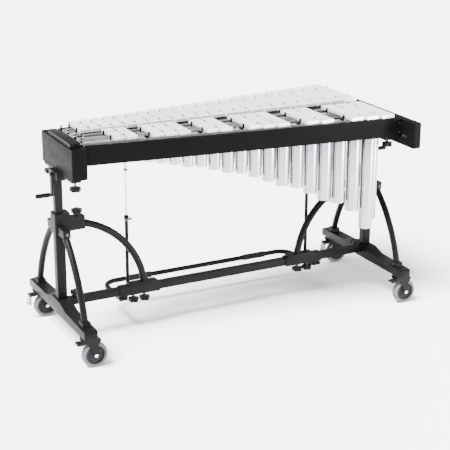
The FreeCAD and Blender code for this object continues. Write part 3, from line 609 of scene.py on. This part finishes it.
def build_keyboard_frame():
    """End caps, fascias, brackets, inner posts, ties and drive housing, from their CAD nodes."""
    for node in ("left_end_cap", "right_end_cap"):
        softened(node, "keyboard", "black_frame", 3.0 * MM, "black_panel", 4)
    for node in ("near_fascia", "far_fascia"):
        softened(node, "keyboard", "black_frame", 1.0 * MM, "black_panel")
    softened("top_brackets", "keyboard", "black_frame", 1.2 * MM)
    for name, _ in SIDES:
        softened(name + "_inner_post", "keyboard", "inner_post", 2.0 * MM, segments=4)
    softened("frame_ties", "keyboard", "bolts", 0.4 * MM, segments=1)
    softened("drive_housing", "keyboard", "black_plastic", 0.9 * MM, segments=2)


def build_gasket():
    """Dark joint between the left end cap and its bracket."""
    low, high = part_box("left_end_cap")
    bm = bmesh.new()
    add_box(bm, (low.x - 0.6 * MM, low.y + 8 * MM, low.z - 0.4 * MM),
            (high.x - 10 * MM, high.y - 8 * MM, low.z + 3 * MM))
    finish_piece(bm, "cap_gasket", "keyboard", "black_plastic", look="joint_and_shade_black")


def build_frame_screws():
    """Screws on the left bracket, the right end cap and the right ends of the fascias."""
    bracket_screw = 4 * MM
    cap_screw = 4.5 * MM
    fascia_screw = 3 * MM
    sunk = 0.8 * MM
    leftward = (-1, 0, 0)
    bm = bmesh.new()
    low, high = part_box("left_end_cap")
    add_screw(bm, (low.x, 40 * MM, low.z - 6 * MM), leftward, bracket_screw)
    low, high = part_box("right_end_cap")
    for from_near in (55 * MM, 72 * MM):
        add_screw(bm, (low.x, low.y + from_near, low.z + 40 * MM), leftward, cap_screw, height=2.5 * MM)
    for node, end in (("near_fascia", -1), ("far_fascia", 1)):
        low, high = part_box(node)
        face = low.y if end < 0 else high.y
        for rise in (20 * MM, 55 * MM):
            place = (high.x - 8 * MM, face - end * sunk, low.z + rise)
            add_screw(bm, place, (0, end, 0), fascia_screw, height=1.6 * MM)
    finish_piece(bm, "frame_screws", "keyboard", "bolts", look="bolts")


def add_star_knob(heads, studs, points):
    """A moulded star knob on its stud. The head is the wide end of the CAD solid."""
    lobes = 5
    steps = lobes * 12
    stud = 4.0 * MM
    low, high = corners(points)
    centre = (low + high) / 2
    radius = max(math.hypot(p.x - centre.x, p.y - centre.y) for p in points)
    head_heights = [p.z for p in points if math.hypot(p.x - centre.x, p.y - centre.y) > radius * 0.5]
    head_low = min(head_heights)
    head_high = max(head_heights)
    outline = []
    for i in range(steps):
        angle = 2 * math.pi * i / steps
        reach = radius * (0.87 + 0.13 * math.cos(lobes * angle))
        outline.append((reach * math.cos(angle), reach * math.sin(angle)))
    head = bmesh.new()
    place = Matrix.Translation((centre.x, centre.y, (head_low + head_high) / 2))
    add_outline(head, outline, head_high - head_low, place)
    bevel_sharp(head, 2.4 * MM, 4, 60)
    merge(heads, head)
    stud_is_above = high.z > head_high + 1 * MM
    stud_low, stud_high = (head_high, high.z) if stud_is_above else (low.z, head_low)
    add_lathe(studs, [(0, stud_low), (stud + 3 * MM, stud_low), (stud + 2 * MM, stud_low + 2 * MM),
                      (stud, stud_low + 2.6 * MM), (stud, stud_high), (0, stud_high)],
              (centre.x, centre.y, 0), sides=20)


def build_knobs():
    """The clamping knobs under the keyboard frame and on the stand."""
    for node, body in (("frame_knobs", "keyboard"), ("stand_knobs", "stand")):
        heads = bmesh.new()
        studs = bmesh.new()
        for points in islands(node):
            add_star_knob(heads, studs, points)
        finish_piece(heads, node + "_heads", body, "black_plastic", (node,), smooth=40)
        finish_piece(studs, node + "_studs", body, "bolts", look="bolts")


def build_crank_arm(name, side, inner_x, shaft_z, throw):
    """Forged arm with rounded ends, its shaft and the boss outside."""
    steps = 16
    thickness = 7 * MM
    shaft_end = 11 * MM
    grip_end = 8 * MM
    shaft = rounded_disc(6 * MM, 0, 24 * MM, edge=0.6 * MM)
    boss = rounded_disc(5 * MM, 0, 3 * MM, edge=1 * MM)
    outline = arc(shaft_end, 0, 180, steps)
    outline += arc(grip_end, 180, 360, steps, (0, -throw))
    stand_up = Matrix.Rotation(math.pi / 2, 4, "Z")
    place = Matrix.Translation((inner_x + side * thickness / 2, 0, shaft_z)) @ stand_up
    place = place @ Matrix.Rotation(math.pi / 2, 4, "X")
    bm = bmesh.new()
    add_outline(bm, outline, thickness, place)
    bevel_sharp(bm, 1.4 * MM, 3, 50)
    add_lathe(bm, shaft, (side * 700 * MM, 0, shaft_z), (side, 0, 0), 24)
    add_lathe(bm, boss, (inner_x + side * thickness, 0, shaft_z), (side, 0, 0), 20)
    finish_piece(bm, name + "_crank_arm", name + "_crank", "cranks", (name + "_crank",))


def build_crank_grip(name, side, start, length, z):
    """Grip with rings of grooves."""
    ribs = 7
    profile = [(0, 0), (6 * MM, 0), (7.4 * MM, 2 * MM)]
    for rib in range(ribs):
        at = 6 * MM + (length - 14 * MM) * rib / ribs
        profile += [(8.9 * MM, at), (8.9 * MM, at + 4.6 * MM), (8.2 * MM, at + 5.4 * MM)]
    profile += [(9.0 * MM, length - 5 * MM), (8.4 * MM, length - 1.6 * MM), (6.5 * MM, length), (0, length)]
    bm = bmesh.new()
    add_lathe(bm, profile, (start, 0, z), (side, 0, 0), 32)
    finish_piece(bm, name + "_crank_grip", name + "_crank", "cranks", look="black_plastic")


def build_cranks():
    """The cranks that set the height, one at each end."""
    throw = 80 * MM
    for name, side in SIDES:
        low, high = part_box(name + "_crank")
        arm_x = side * 722 * MM
        shaft_z = high.z - 12 * MM
        build_crank_arm(name, side, arm_x, shaft_z, throw)
        start = arm_x + side * 9 * MM
        length = (high.x if side > 0 else -low.x) - abs(start)
        build_crank_grip(name, side, start, length, shaft_z - throw)


# ---------------------------------------------------------------- stand

def build_stand():
    """Feet, posts, collars, brackets and beam from their CAD nodes, then bolts and the plates on the feet."""
    for name, _ in SIDES:
        softened(name + "_foot", "stand", "black_frame", 2.2 * MM, segments=4)
        softened(name + "_outer_post", "stand", "black_frame", 1.0 * MM)
        softened(name + "_collar", "stand", "black_frame", 2.0 * MM, segments=4)
        softened(name + "_beam_bracket", "stand", "black_frame", 1.4 * MM)
    softened("long_beam", "stand", "black_frame", 2.4 * MM, segments=4)
    build_stand_bolts()
    build_foot_plates()


def build_stand_bolts():
    """Bolts, each as long as its CAD solid: along X where the solid is short in X, else along Y."""
    bm = bmesh.new()
    for points in islands("stand_bolts"):
        low, high = corners(points)
        centre = (low + high) / 2
        size = high - low
        if size.x < size.y * 0.9:
            side = 1 if centre.x > 0 else -1
            outer = high.x if side > 0 else low.x
            add_screw(bm, (outer, centre.y, centre.z), (-side, 0, 0), size.z / 2, size.x)
        else:
            add_screw(bm, (centre.x, high.y, centre.z), (0, -1, 0), size.z / 2, size.y)
    finish_piece(bm, "stand_bolt_set", "stand", "bolts", ("stand_bolts",))


def build_foot_plates():
    """Thin plates that close the ends of the feet."""
    inset = 1 * MM
    bm = bmesh.new()
    for name, _ in SIDES:
        low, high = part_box(name + "_foot")
        for end, edge in ((-1, low.y), (1, high.y)):
            faces = sorted((edge - end * 3 * MM, edge + end * 2.5 * MM))
            add_box(bm, (low.x + inset, faces[0], low.z + inset), (high.x - inset, faces[1], low.z + 27 * MM))
    bevel_sharp(bm, 1.8 * MM, 3, 50)
    finish_piece(bm, "foot_end_caps", "stand", "black_plastic", look="black_plastic")


def build_arches():
    """Arched braces with a ferrule at each end, and side struts, all of smooth bent tube."""
    sides = 28
    up = (0, 0, 1)
    brace_radius = 14 * MM
    brace_bend = 344.5 * MM
    brace_centre_x = 697 * MM
    brace_centre_z = 147 * MM
    ferrule_radius = 15.5 * MM
    strut_radius = 13 * MM
    strut_bend = 568 * MM
    strut_centre_y = 302 * MM
    strut_centre_z = 29 * MM
    tubes = bmesh.new()
    ferrules = bmesh.new()
    for _, side in SIDES:
        centre = (side * brace_centre_x, BEAM_Y, brace_centre_z)
        path = arc_points(centre, brace_bend, 104.5, 172.0, (side, 0, 0), up)
        add_tube(tubes, path, brace_radius, sides)
        for stretch in (path[:2], path[-2:]):
            add_tube(ferrules, stretch, ferrule_radius, sides)
        for end in (-1, 1):
            centre = (side * POST_X, -end * strut_centre_y, strut_centre_z)
            path = arc_points(centre, strut_bend, 15.0, 51.5, (0, end, 0), up)
            add_tube(tubes, path, strut_radius, sides)
    finish_piece(tubes, "bent_tubes", "stand", "black_frame", ("arched_braces", "side_struts"))
    bevel_sharp(ferrules, 1.5 * MM, 2, 60)
    finish_piece(ferrules, "tube_ferrules", "stand", "black_plastic", look="black_plastic")


# ---------------------------------------------------------------- casters

def build_tyre(name, wheel, half, radius, hub):
    """Tyre with a rounded tread and a small step where it meets the hub."""
    edge = 7 * MM
    steps = 6
    profile = [(hub, -half + 1.6 * MM), (hub + 2 * MM, -half)]
    for i in range(steps + 1):
        angle = math.pi / 2 * i / steps
        profile.append((radius - edge + edge * math.sin(angle), -half + edge - edge * math.cos(angle)))
    bm = bmesh.new()
    add_lathe(bm, mirrored(profile), wheel, (0, 1, 0), 72, closed=True)
    finish_piece(bm, name + "_tyre_tread", name + "_wheel", "tyre", (name + "_tyre",), smooth=50)


def build_hub(name, wheel, half, hub):
    """Dished hub: rim, recessed web, raised ring and bearing boss, with ribs across the recess."""
    face = half + 0.6 * MM
    web = face - 6 * MM
    ring = web + 2.4 * MM
    bore = 4.3 * MM
    boss = 9 * MM
    ribs = 8
    rib_half = 1.2 * MM
    rib_top = web + 2.6 * MM
    dish = [(bore, face), (boss, face), (boss + 1 * MM, face - 2 * MM), (boss + 1.6 * MM, web),
            (18 * MM, web), (18.6 * MM, ring), (21.4 * MM, ring), (22 * MM, web),
            (hub - 5 * MM, web), (hub - 4.2 * MM, face - 1 * MM), (hub - 1.4 * MM, face),
            (hub, face - 1.2 * MM)]
    bm = bmesh.new()
    add_lathe(bm, mirrored(dish), wheel, (0, 1, 0), 56, closed=True)
    for rib in range(ribs):
        one = bmesh.new()
        add_box(one, (boss, -rib_top, -rib_half), (hub - 4.4 * MM, rib_top, rib_half))
        one.transform(Matrix.Translation(wheel) @ Matrix.Rotation(2 * math.pi * rib / ribs, 4, "Y"))
        merge(bm, one)
    finish_piece(bm, name + "_hub_moulding", name + "_wheel", "caster_hub", (name + "_hub",))


def build_fork(name, wheel, half, stem_x, top):
    """Fork: swivel head, hooded crown and two legs that narrow to the axle."""
    shoulder = top - 26 * MM
    under = shoulder - 6 * MM
    back = stem_x - 24 * MM
    plate = 4 * MM
    eye = 8.5 * MM
    swivel_head = rounded_disc(24 * MM, 0, 5.5 * MM, edge=1.6 * MM)
    swivel_cap = rounded_disc(21 * MM, 0, 2.6 * MM, edge=0.8 * MM)
    leg = [(back, under + 5 * MM), (back, under - 8 * MM),
           (stem_x - 6 * MM, under - 18 * MM), (wheel.x - 10 * MM, wheel.z + 12 * MM)]
    leg += arc(eye, 200, 350, 10, (wheel.x, wheel.z))
    leg += [(wheel.x + 9 * MM, under - 30 * MM), (wheel.x + 22 * MM, under - 8 * MM),
            (wheel.x + 18 * MM, under), (wheel.x + 4 * MM, under + 6 * MM)]
    crown = [(back, under + 5 * MM), (wheel.x + 4 * MM, under + 6 * MM), (wheel.x + 18 * MM, under),
             (wheel.x + 24 * MM, under - 8 * MM), (wheel.x + 20 * MM, under - 7 * MM),
             (wheel.x + 14 * MM, under - 3 * MM), (stem_x - 21 * MM, under - 1 * MM)]
    bm = bmesh.new()
    for way in (-1, 1):
        place = Matrix.Translation((0, wheel.y + way * (half + plate), 0)) @ THICK_IN_Y
        add_outline(bm, leg, plate, place)
    add_outline(bm, crown, 2 * half + 10 * MM, Matrix.Translation((0, wheel.y, 0)) @ THICK_IN_Y)
    bevel_sharp(bm, 1.2 * MM, 2, 50)
    add_lathe(bm, swivel_head, (stem_x, wheel.y, shoulder - 5 * MM))
    add_lathe(bm, swivel_cap, (stem_x, wheel.y, shoulder))
    finish_piece(bm, name + "_fork_moulding", name + "_caster", "caster_fork", (name + "_fork",))


def build_axle(name, wheel, face):
    """Axle through the hub with a bright bolt head on both sides."""
    bm = bmesh.new()
    for way in (-1, 1):
        add_screw(bm, (wheel.x, wheel.y + way * face, wheel.z), (0, way, 0), 7 * MM, 3 * MM)
    start = (wheel.x, wheel.y - face, wheel.z)
    add_lathe(bm, rounded_disc(4 * MM, 0, 2 * face, 0.3 * MM), start, (0, 1, 0), 20)
    finish_piece(bm, name + "_axle_set", name + "_caster", "caster_fork", look="bright_bolt")


def build_brake(name, wheel, face, stem_x):
    """Brake lever on its pin. The near ones have a ribbed tread, the far ones a pale pad that hangs down."""
    pin_x = stem_x - 16 * MM
    far = name.startswith("far")
    z = BRAKE_Z
    bm = bmesh.new()
    add_lathe(bm, rounded_disc(2.5 * MM, 0, 2 * face, 0.3 * MM), (pin_x, wheel.y - face, z), (0, 1, 0), 16)
    finish_piece(bm, name + "_brake_pin", name + "_caster", "caster_fork", look="bolts")
    low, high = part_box(name + "_brake_lever")
    tip = low.x
    place = Matrix.Translation((0, (low.y + high.y) / 2, 0)) @ THICK_IN_Y
    lever = [(high.x, z - 5 * MM), (high.x - 12 * MM, z - 6 * MM), (tip + 5 * MM, z - 6 * MM),
             (tip, z - 3 * MM), (tip + 1 * MM, z + 3.4 * MM), (high.x - 12 * MM, z + 4 * MM),
             (high.x - 2 * MM, z + 5 * MM)]
    bm = bmesh.new()
    add_outline(bm, lever, high.y - low.y, place)
    bevel_sharp(bm, 1.6 * MM, 3, 40)
    finish_piece(bm, name + "_lever_moulding", name + "_brake", "caster_fork", (name + "_brake_lever",))
    bm = bmesh.new()
    if far:
        drop = 40 * MM
        pad = [(tip + 2 * MM, z - 2 * MM), (tip + 9 * MM, z - 2 * MM), (tip + 8 * MM, z - drop * 0.6),
               (tip + 10 * MM, z - drop), (tip + 4 * MM, z - drop - 4 * MM), (tip - 6 * MM, z - drop),
               (tip - 4 * MM, z - drop * 0.5)]
        add_outline(bm, pad, (high.y - low.y) * 0.8, place)
    else:
        ribs = 4
        inset = 2.4 * MM
        for rib in range(ribs):
            x = tip + 3 * MM + rib * 5 * MM
            add_box(bm, (x, low.y + inset, z + 3 * MM), (x + 3.4 * MM, high.y - inset, z + 5.2 * MM))
    bevel_sharp(bm, 0.9 * MM, 2, 50)
    finish_piece(bm, name + "_lever_pad", name + "_brake", "caster_fork",
                 look="pale_pad" if far else "caster_fork")


def build_caster(name):
    """One caster, read from its CAD boxes."""
    low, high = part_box(name + "_tyre")
    wheel = (low + high) / 2
    half = (high.y - low.y) / 2
    radius = (high.z - low.z) / 2
    hub_low, hub_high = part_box(name + "_hub")
    fork_low, fork_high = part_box(name + "_fork")
    stem_x = fork_low.x + 24 * MM
    rim = (hub_high.z - hub_low.z) / 2 + 2.5 * MM
    face = half + 6 * MM
    build_tyre(name, wheel, half, radius, rim)
    build_hub(name, wheel, half, rim)
    build_fork(name, wheel, half, stem_x, fork_high.z)
    build_axle(name, wheel, face)
    build_brake(name, wheel, face, stem_x)


# ---------------------------------------------------------------- damper

def build_damper():
    """Damper bar, its felt strips and the coil springs under it."""
    softened("damper_bar", "damper", "damper", 0.8 * MM)
    half = 6 * MM
    for number, points in enumerate(islands("damper_felt"), start=1):
        start, end, tall = line_of(points)
        up = tall / 2
        crown = [(half, -up), (half, up * 0.5), (half * 0.75, up * 0.9), (half * 0.3, up)]
        outline = crown + [(-x, y) for x, y in reversed(crown)]
        bm = bmesh.new()
        add_section(bm, start, end, outline)
        piece = finish_piece(bm, "felt_strip_%d" % number, "damper", "felt")
        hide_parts("damper_felt")
    turns = 4
    steps = turns * 20
    wire = 0.8 * MM
    coil = 6 * MM
    bm = bmesh.new()
    for points in islands("damper_springs"):
        low, high = corners(points)
        centre = (low + high) / 2
        path = []
        for i in range(steps + 1):
            angle = 2 * math.pi * turns * i / steps
            z = low.z + wire + (high.z - low.z - 2 * wire) * i / steps
            path.append((centre.x + coil * math.cos(angle), centre.y + coil * math.sin(angle), z))
        add_tube(bm, path, wire, 8)
    coils = finish_piece(bm, "spring_coils", "keyboard", "springs", ("damper_springs",))
    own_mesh(coils)


def build_upper_rods():
    """Plated rods that hang from the damper bar, each with a wire hook above and a collar."""
    rod = 4 * MM
    tip = 3 * MM
    wire = 2.4 * MM
    collar = 660 * MM
    hook = 700 * MM
    barb = 722 * MM
    for points, (name, _) in zip(islands("upper_pedal_rods"), SIDES):
        low, high = corners(points)
        x, y, _ = (low + high) / 2
        bm = bmesh.new()
        add_lathe(bm, rounded_disc(rod, 0, collar - low.z, 1 * MM), (x, y, low.z), sides=20)
        add_lathe(bm, [(0, collar), (rod, collar), (6 * MM, collar + 14 * MM), (5 * MM, hook - 6 * MM),
                       (tip, hook), (tip, high.z), (0, high.z)], (x, y, 0), sides=20)
        for way in (-1, 1):
            eye = [(x, y, hook - 12 * MM), (x + way * 7 * MM, y, hook - 4 * MM),
                   (x + way * 8 * MM, y, hook + 10 * MM), (x + way * 2 * MM, y, barb)]
            prong = [(x, y, barb + 12 * MM), (x + way * 8 * MM, y, barb + 6 * MM),
                     (x + way * 15 * MM, y, barb - 6 * MM)]
            for path in (eye, prong):
                add_tube(bm, smooth_path(path), wire, 12)
        piece = finish_piece(bm, name + "_upper_rod", "damper", "rods")
        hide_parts("upper_pedal_rods")
        bm = bmesh.new()
        add_lathe(bm, rounded_disc(8.5 * MM, 0, 6 * MM, 1.5 * MM), (x, y, collar - 5 * MM), sides=28)
        finish_piece(bm, name + "_rod_collar", "damper", "rods", look="bolts")


# ---------------------------------------------------------------- pedal

def build_pedal():
    """Pedal arms and the bent pedal tube with its ribbed sleeves."""
    softened("pedal_arms", "pedal", "black_frame", 1.6 * MM)
    low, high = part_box("pedal_bar")
    radius = 10 * MM
    bend = 60 * MM
    sleeve_radius = 13 * MM
    y = high.y - sleeve_radius
    z = (low.z + high.z) / 2
    reach = high.x - radius
    corner_y = y - bend
    path = [(-reach, low.y, z), (-reach, (low.y + corner_y) / 2, z)]
    path += arc_points((-reach + bend, corner_y, z), bend, 180, 90, (1, 0, 0), (0, 1, 0), 14)
    path += arc_points((reach - bend, corner_y, z), bend, 90, 0, (1, 0, 0), (0, 1, 0), 14)
    path += [(reach, (low.y + corner_y) / 2, z), (reach, low.y, z)]
    bm = bmesh.new()
    add_tube(bm, path, radius, 28)
    finish_piece(bm, "pedal_tube", "pedal", "black_frame", ("pedal_bar",))
    length = 108 * MM
    groove_radius = 12.3 * MM
    ribs = 17
    pitch = 6 * MM
    profile = [(radius, 0), (12 * MM, 0.5 * MM), (sleeve_radius, 2 * MM)]
    for rib in range(ribs):
        at = 3 * MM + rib * pitch
        profile += [(sleeve_radius, at), (sleeve_radius, at + 3.6 * MM), (groove_radius, at + 4.2 * MM),
                    (groove_radius, at + 5.4 * MM)]
    profile += [(sleeve_radius, length - 2 * MM), (12 * MM, length - 0.5 * MM), (radius, length)]
    bm = bmesh.new()
    for middle in (-274 * MM, 274 * MM):
        add_lathe(bm, profile, (middle - length / 2, y, z), (1, 0, 0), 32)
    finish_piece(bm, "pedal_sleeves", "pedal", "black_plastic", look="belts")


def build_rod_tubes():
    """Tubes that take the upper rods, each with an eye below, a collar and a wing screw above."""
    bore = 4.5 * MM
    outer = 7 * MM
    collar = 10 * MM
    eye = 9 * MM
    low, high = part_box("rod_tubes")
    top = high.z
    foot = low.z + 6 * MM
    screw_z = top - 12 * MM
    for name, side in SIDES:
        x = side * ROD_X
        y = ROD_Y
        bm = bmesh.new()
        add_lathe(bm, [(bore, top - 3 * MM), (5.2 * MM, top), (6.2 * MM, top), (outer, top - 1 * MM),
                       (outer, foot), (0, foot)], (x, y, 0), sides=28)
        add_lathe(bm, [(outer, top - 22 * MM), (9.4 * MM, top - 21.4 * MM), (collar, top - 20 * MM),
                       (collar, top - 4 * MM), (9 * MM, top - 2 * MM), (outer, top - 2 * MM)],
                  (x, y, 0), sides=28)
        add_lathe(bm, [(5 * MM, -8 * MM), (8.4 * MM, -8 * MM), (eye, -7 * MM), (eye, 7 * MM),
                       (8.4 * MM, 8 * MM), (5 * MM, 8 * MM)], (x, y, low.z + eye), (1, 0, 0), 28,
                  closed=True)
        piece = finish_piece(bm, name + "_rod_tube", "rod_tubes", "black_frame")
        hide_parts("rod_tubes")
        bm = bmesh.new()
        add_lathe(bm, rounded_disc(3 * MM, 0, 8 * MM, 0.4 * MM), (x, y - 18 * MM, screw_z), (0, 1, 0), 16)
        wing = []
        for way in (1, -1):
            wing += [(way * 4 * MM, way * 3 * MM), (way * 9 * MM, way * 6 * MM),
                     (way * 14 * MM, way * 5.6 * MM), (way * 14 * MM, -way * 3 * MM),
                     (way * 8 * MM, -way * 4 * MM), (way * 4 * MM, -way * 3.4 * MM)]
        add_outline(bm, wing, 4 * MM, Matrix.Translation((x, y - 20 * MM, screw_z)) @ THICK_IN_Y)
        bevel_sharp(bm, 1 * MM, 2, 60)
        finish_piece(bm, name + "_wing_screw", "rod_tubes", "bolts", look="bolts")


# ---------------------------------------------------------------- CAD nodes that stay

def paint_cad_nodes():
    """Give every CAD node the finish of its slot, whether or not a piece replaces it later."""
    for row in frame["record"]["subparts"]:
        shown = frame["nodes"][row["node"]]
        shown.data.materials.clear()
        shown.data.materials.append(LOOK[row["material_slot"]])
        shown.data.shade_smooth()
        shown.data.set_sharp_from_angle(angle=math.radians(35))


# ---------------------------------------------------------------- studio

def aimed(lamp, direction):
    """Turn a lamp to shine along a direction, and put it in the scene."""
    lamp.rotation_euler = direction.to_track_quat("-Z", "Y").to_euler()
    SCENE.collection.objects.link(lamp)


def area_light(name, place, target, size, power):
    """A soft rectangular light."""
    data = bpy.data.lights.new(name, "AREA")
    data.shape = "RECTANGLE"
    data.size, data.size_y = size
    data.energy = power
    lamp = bpy.data.objects.new(name, data)
    lamp.location = place
    aimed(lamp, Vector(target) - Vector(place))


def build_floor():
    """Plain pale floor, just under the tyres."""
    bm = bmesh.new()
    bmesh.ops.create_grid(bm, x_segments=2, y_segments=2, size=40)
    mesh = bpy.data.meshes.new("floor")
    bm.to_mesh(mesh)
    bm.free()
    floor = bpy.data.objects.new("floor", mesh)
    floor.location.z = -0.5 * MM
    SCENE.collection.objects.link(floor)
    pale, _, _, _ = principled("floor_white", (0.93, 0.93, 0.93), 0.0, 0.9, Specular_IOR_Level=0.1)
    mesh.materials.append(pale)


def build_lights():
    """An even white surround, a wide soft sun from above and two soft side lights."""
    world = bpy.data.worlds.new("studio")
    world.use_nodes = True
    background = world.node_tree.nodes["Background"]
    background.inputs["Color"].default_value = (1, 1, 1, 1)
    background.inputs["Strength"].default_value = 0.95
    SCENE.world = world
    sun = bpy.data.lights.new("overhead", "SUN")
    sun.energy = 21
    sun.angle = math.radians(24)
    aimed(bpy.data.objects.new("overhead", sun), Vector((0.55, 0.15, -1)))
    area_light("left_wall", (-3.4, 0.6, 1.2), (-0.4, 0, 0.6), (1.4, 2.0), 90)
    area_light("right_front", (2.4, -2.6, 0.9), (0.3, 0, 0.5), (0.7, 1.6), 170)


def build_camera():
    """The view of the object: from the audience side, left of the middle, looking slightly down.

    The focal length and the optical centre are in parts of a square frame of frame_size parts.
    """
    azimuth = math.radians(-27.9)
    elevation = math.radians(18.33)
    roll = math.radians(0.456)
    distance = 5.070
    target = Vector((0.0566, 0, 0.4324))
    frame_size = 450
    focal = 1235.5
    optical = (234.7, 209.4)
    forward = Vector((-math.sin(azimuth) * math.cos(elevation), math.cos(azimuth) * math.cos(elevation),
                      -math.sin(elevation)))
    data = bpy.data.cameras.new("camera")
    data.sensor_width = 36
    data.lens = focal / frame_size * data.sensor_width
    data.shift_x = (frame_size / 2 - optical[0]) / frame_size
    data.shift_y = (optical[1] - frame_size / 2) / frame_size
    camera = bpy.data.objects.new("camera", data)
    facing = forward.to_track_quat("-Z", "Y").to_matrix().to_4x4()
    place = Matrix.Translation(target - forward * distance)
    camera.matrix_world = place @ facing @ Matrix.Rotation(roll, 4, "Z")
    SCENE.collection.objects.link(camera)
    SCENE.camera = camera


build_camera()
paint_cad_nodes()
build_bars()
build_rails()
build_posts()
build_anchors()
build_painted_gap_shades_and_clips()
build_tubes()
build_slant_tie()
build_keyboard_frame()
build_gasket()
build_frame_screws()
build_knobs()
build_cranks()
build_stand()
build_arches()
for caster in CASTERS:
    build_caster(caster)
build_damper()
build_upper_rods()
build_pedal()
build_rod_tubes()
build_floor()
build_lights()
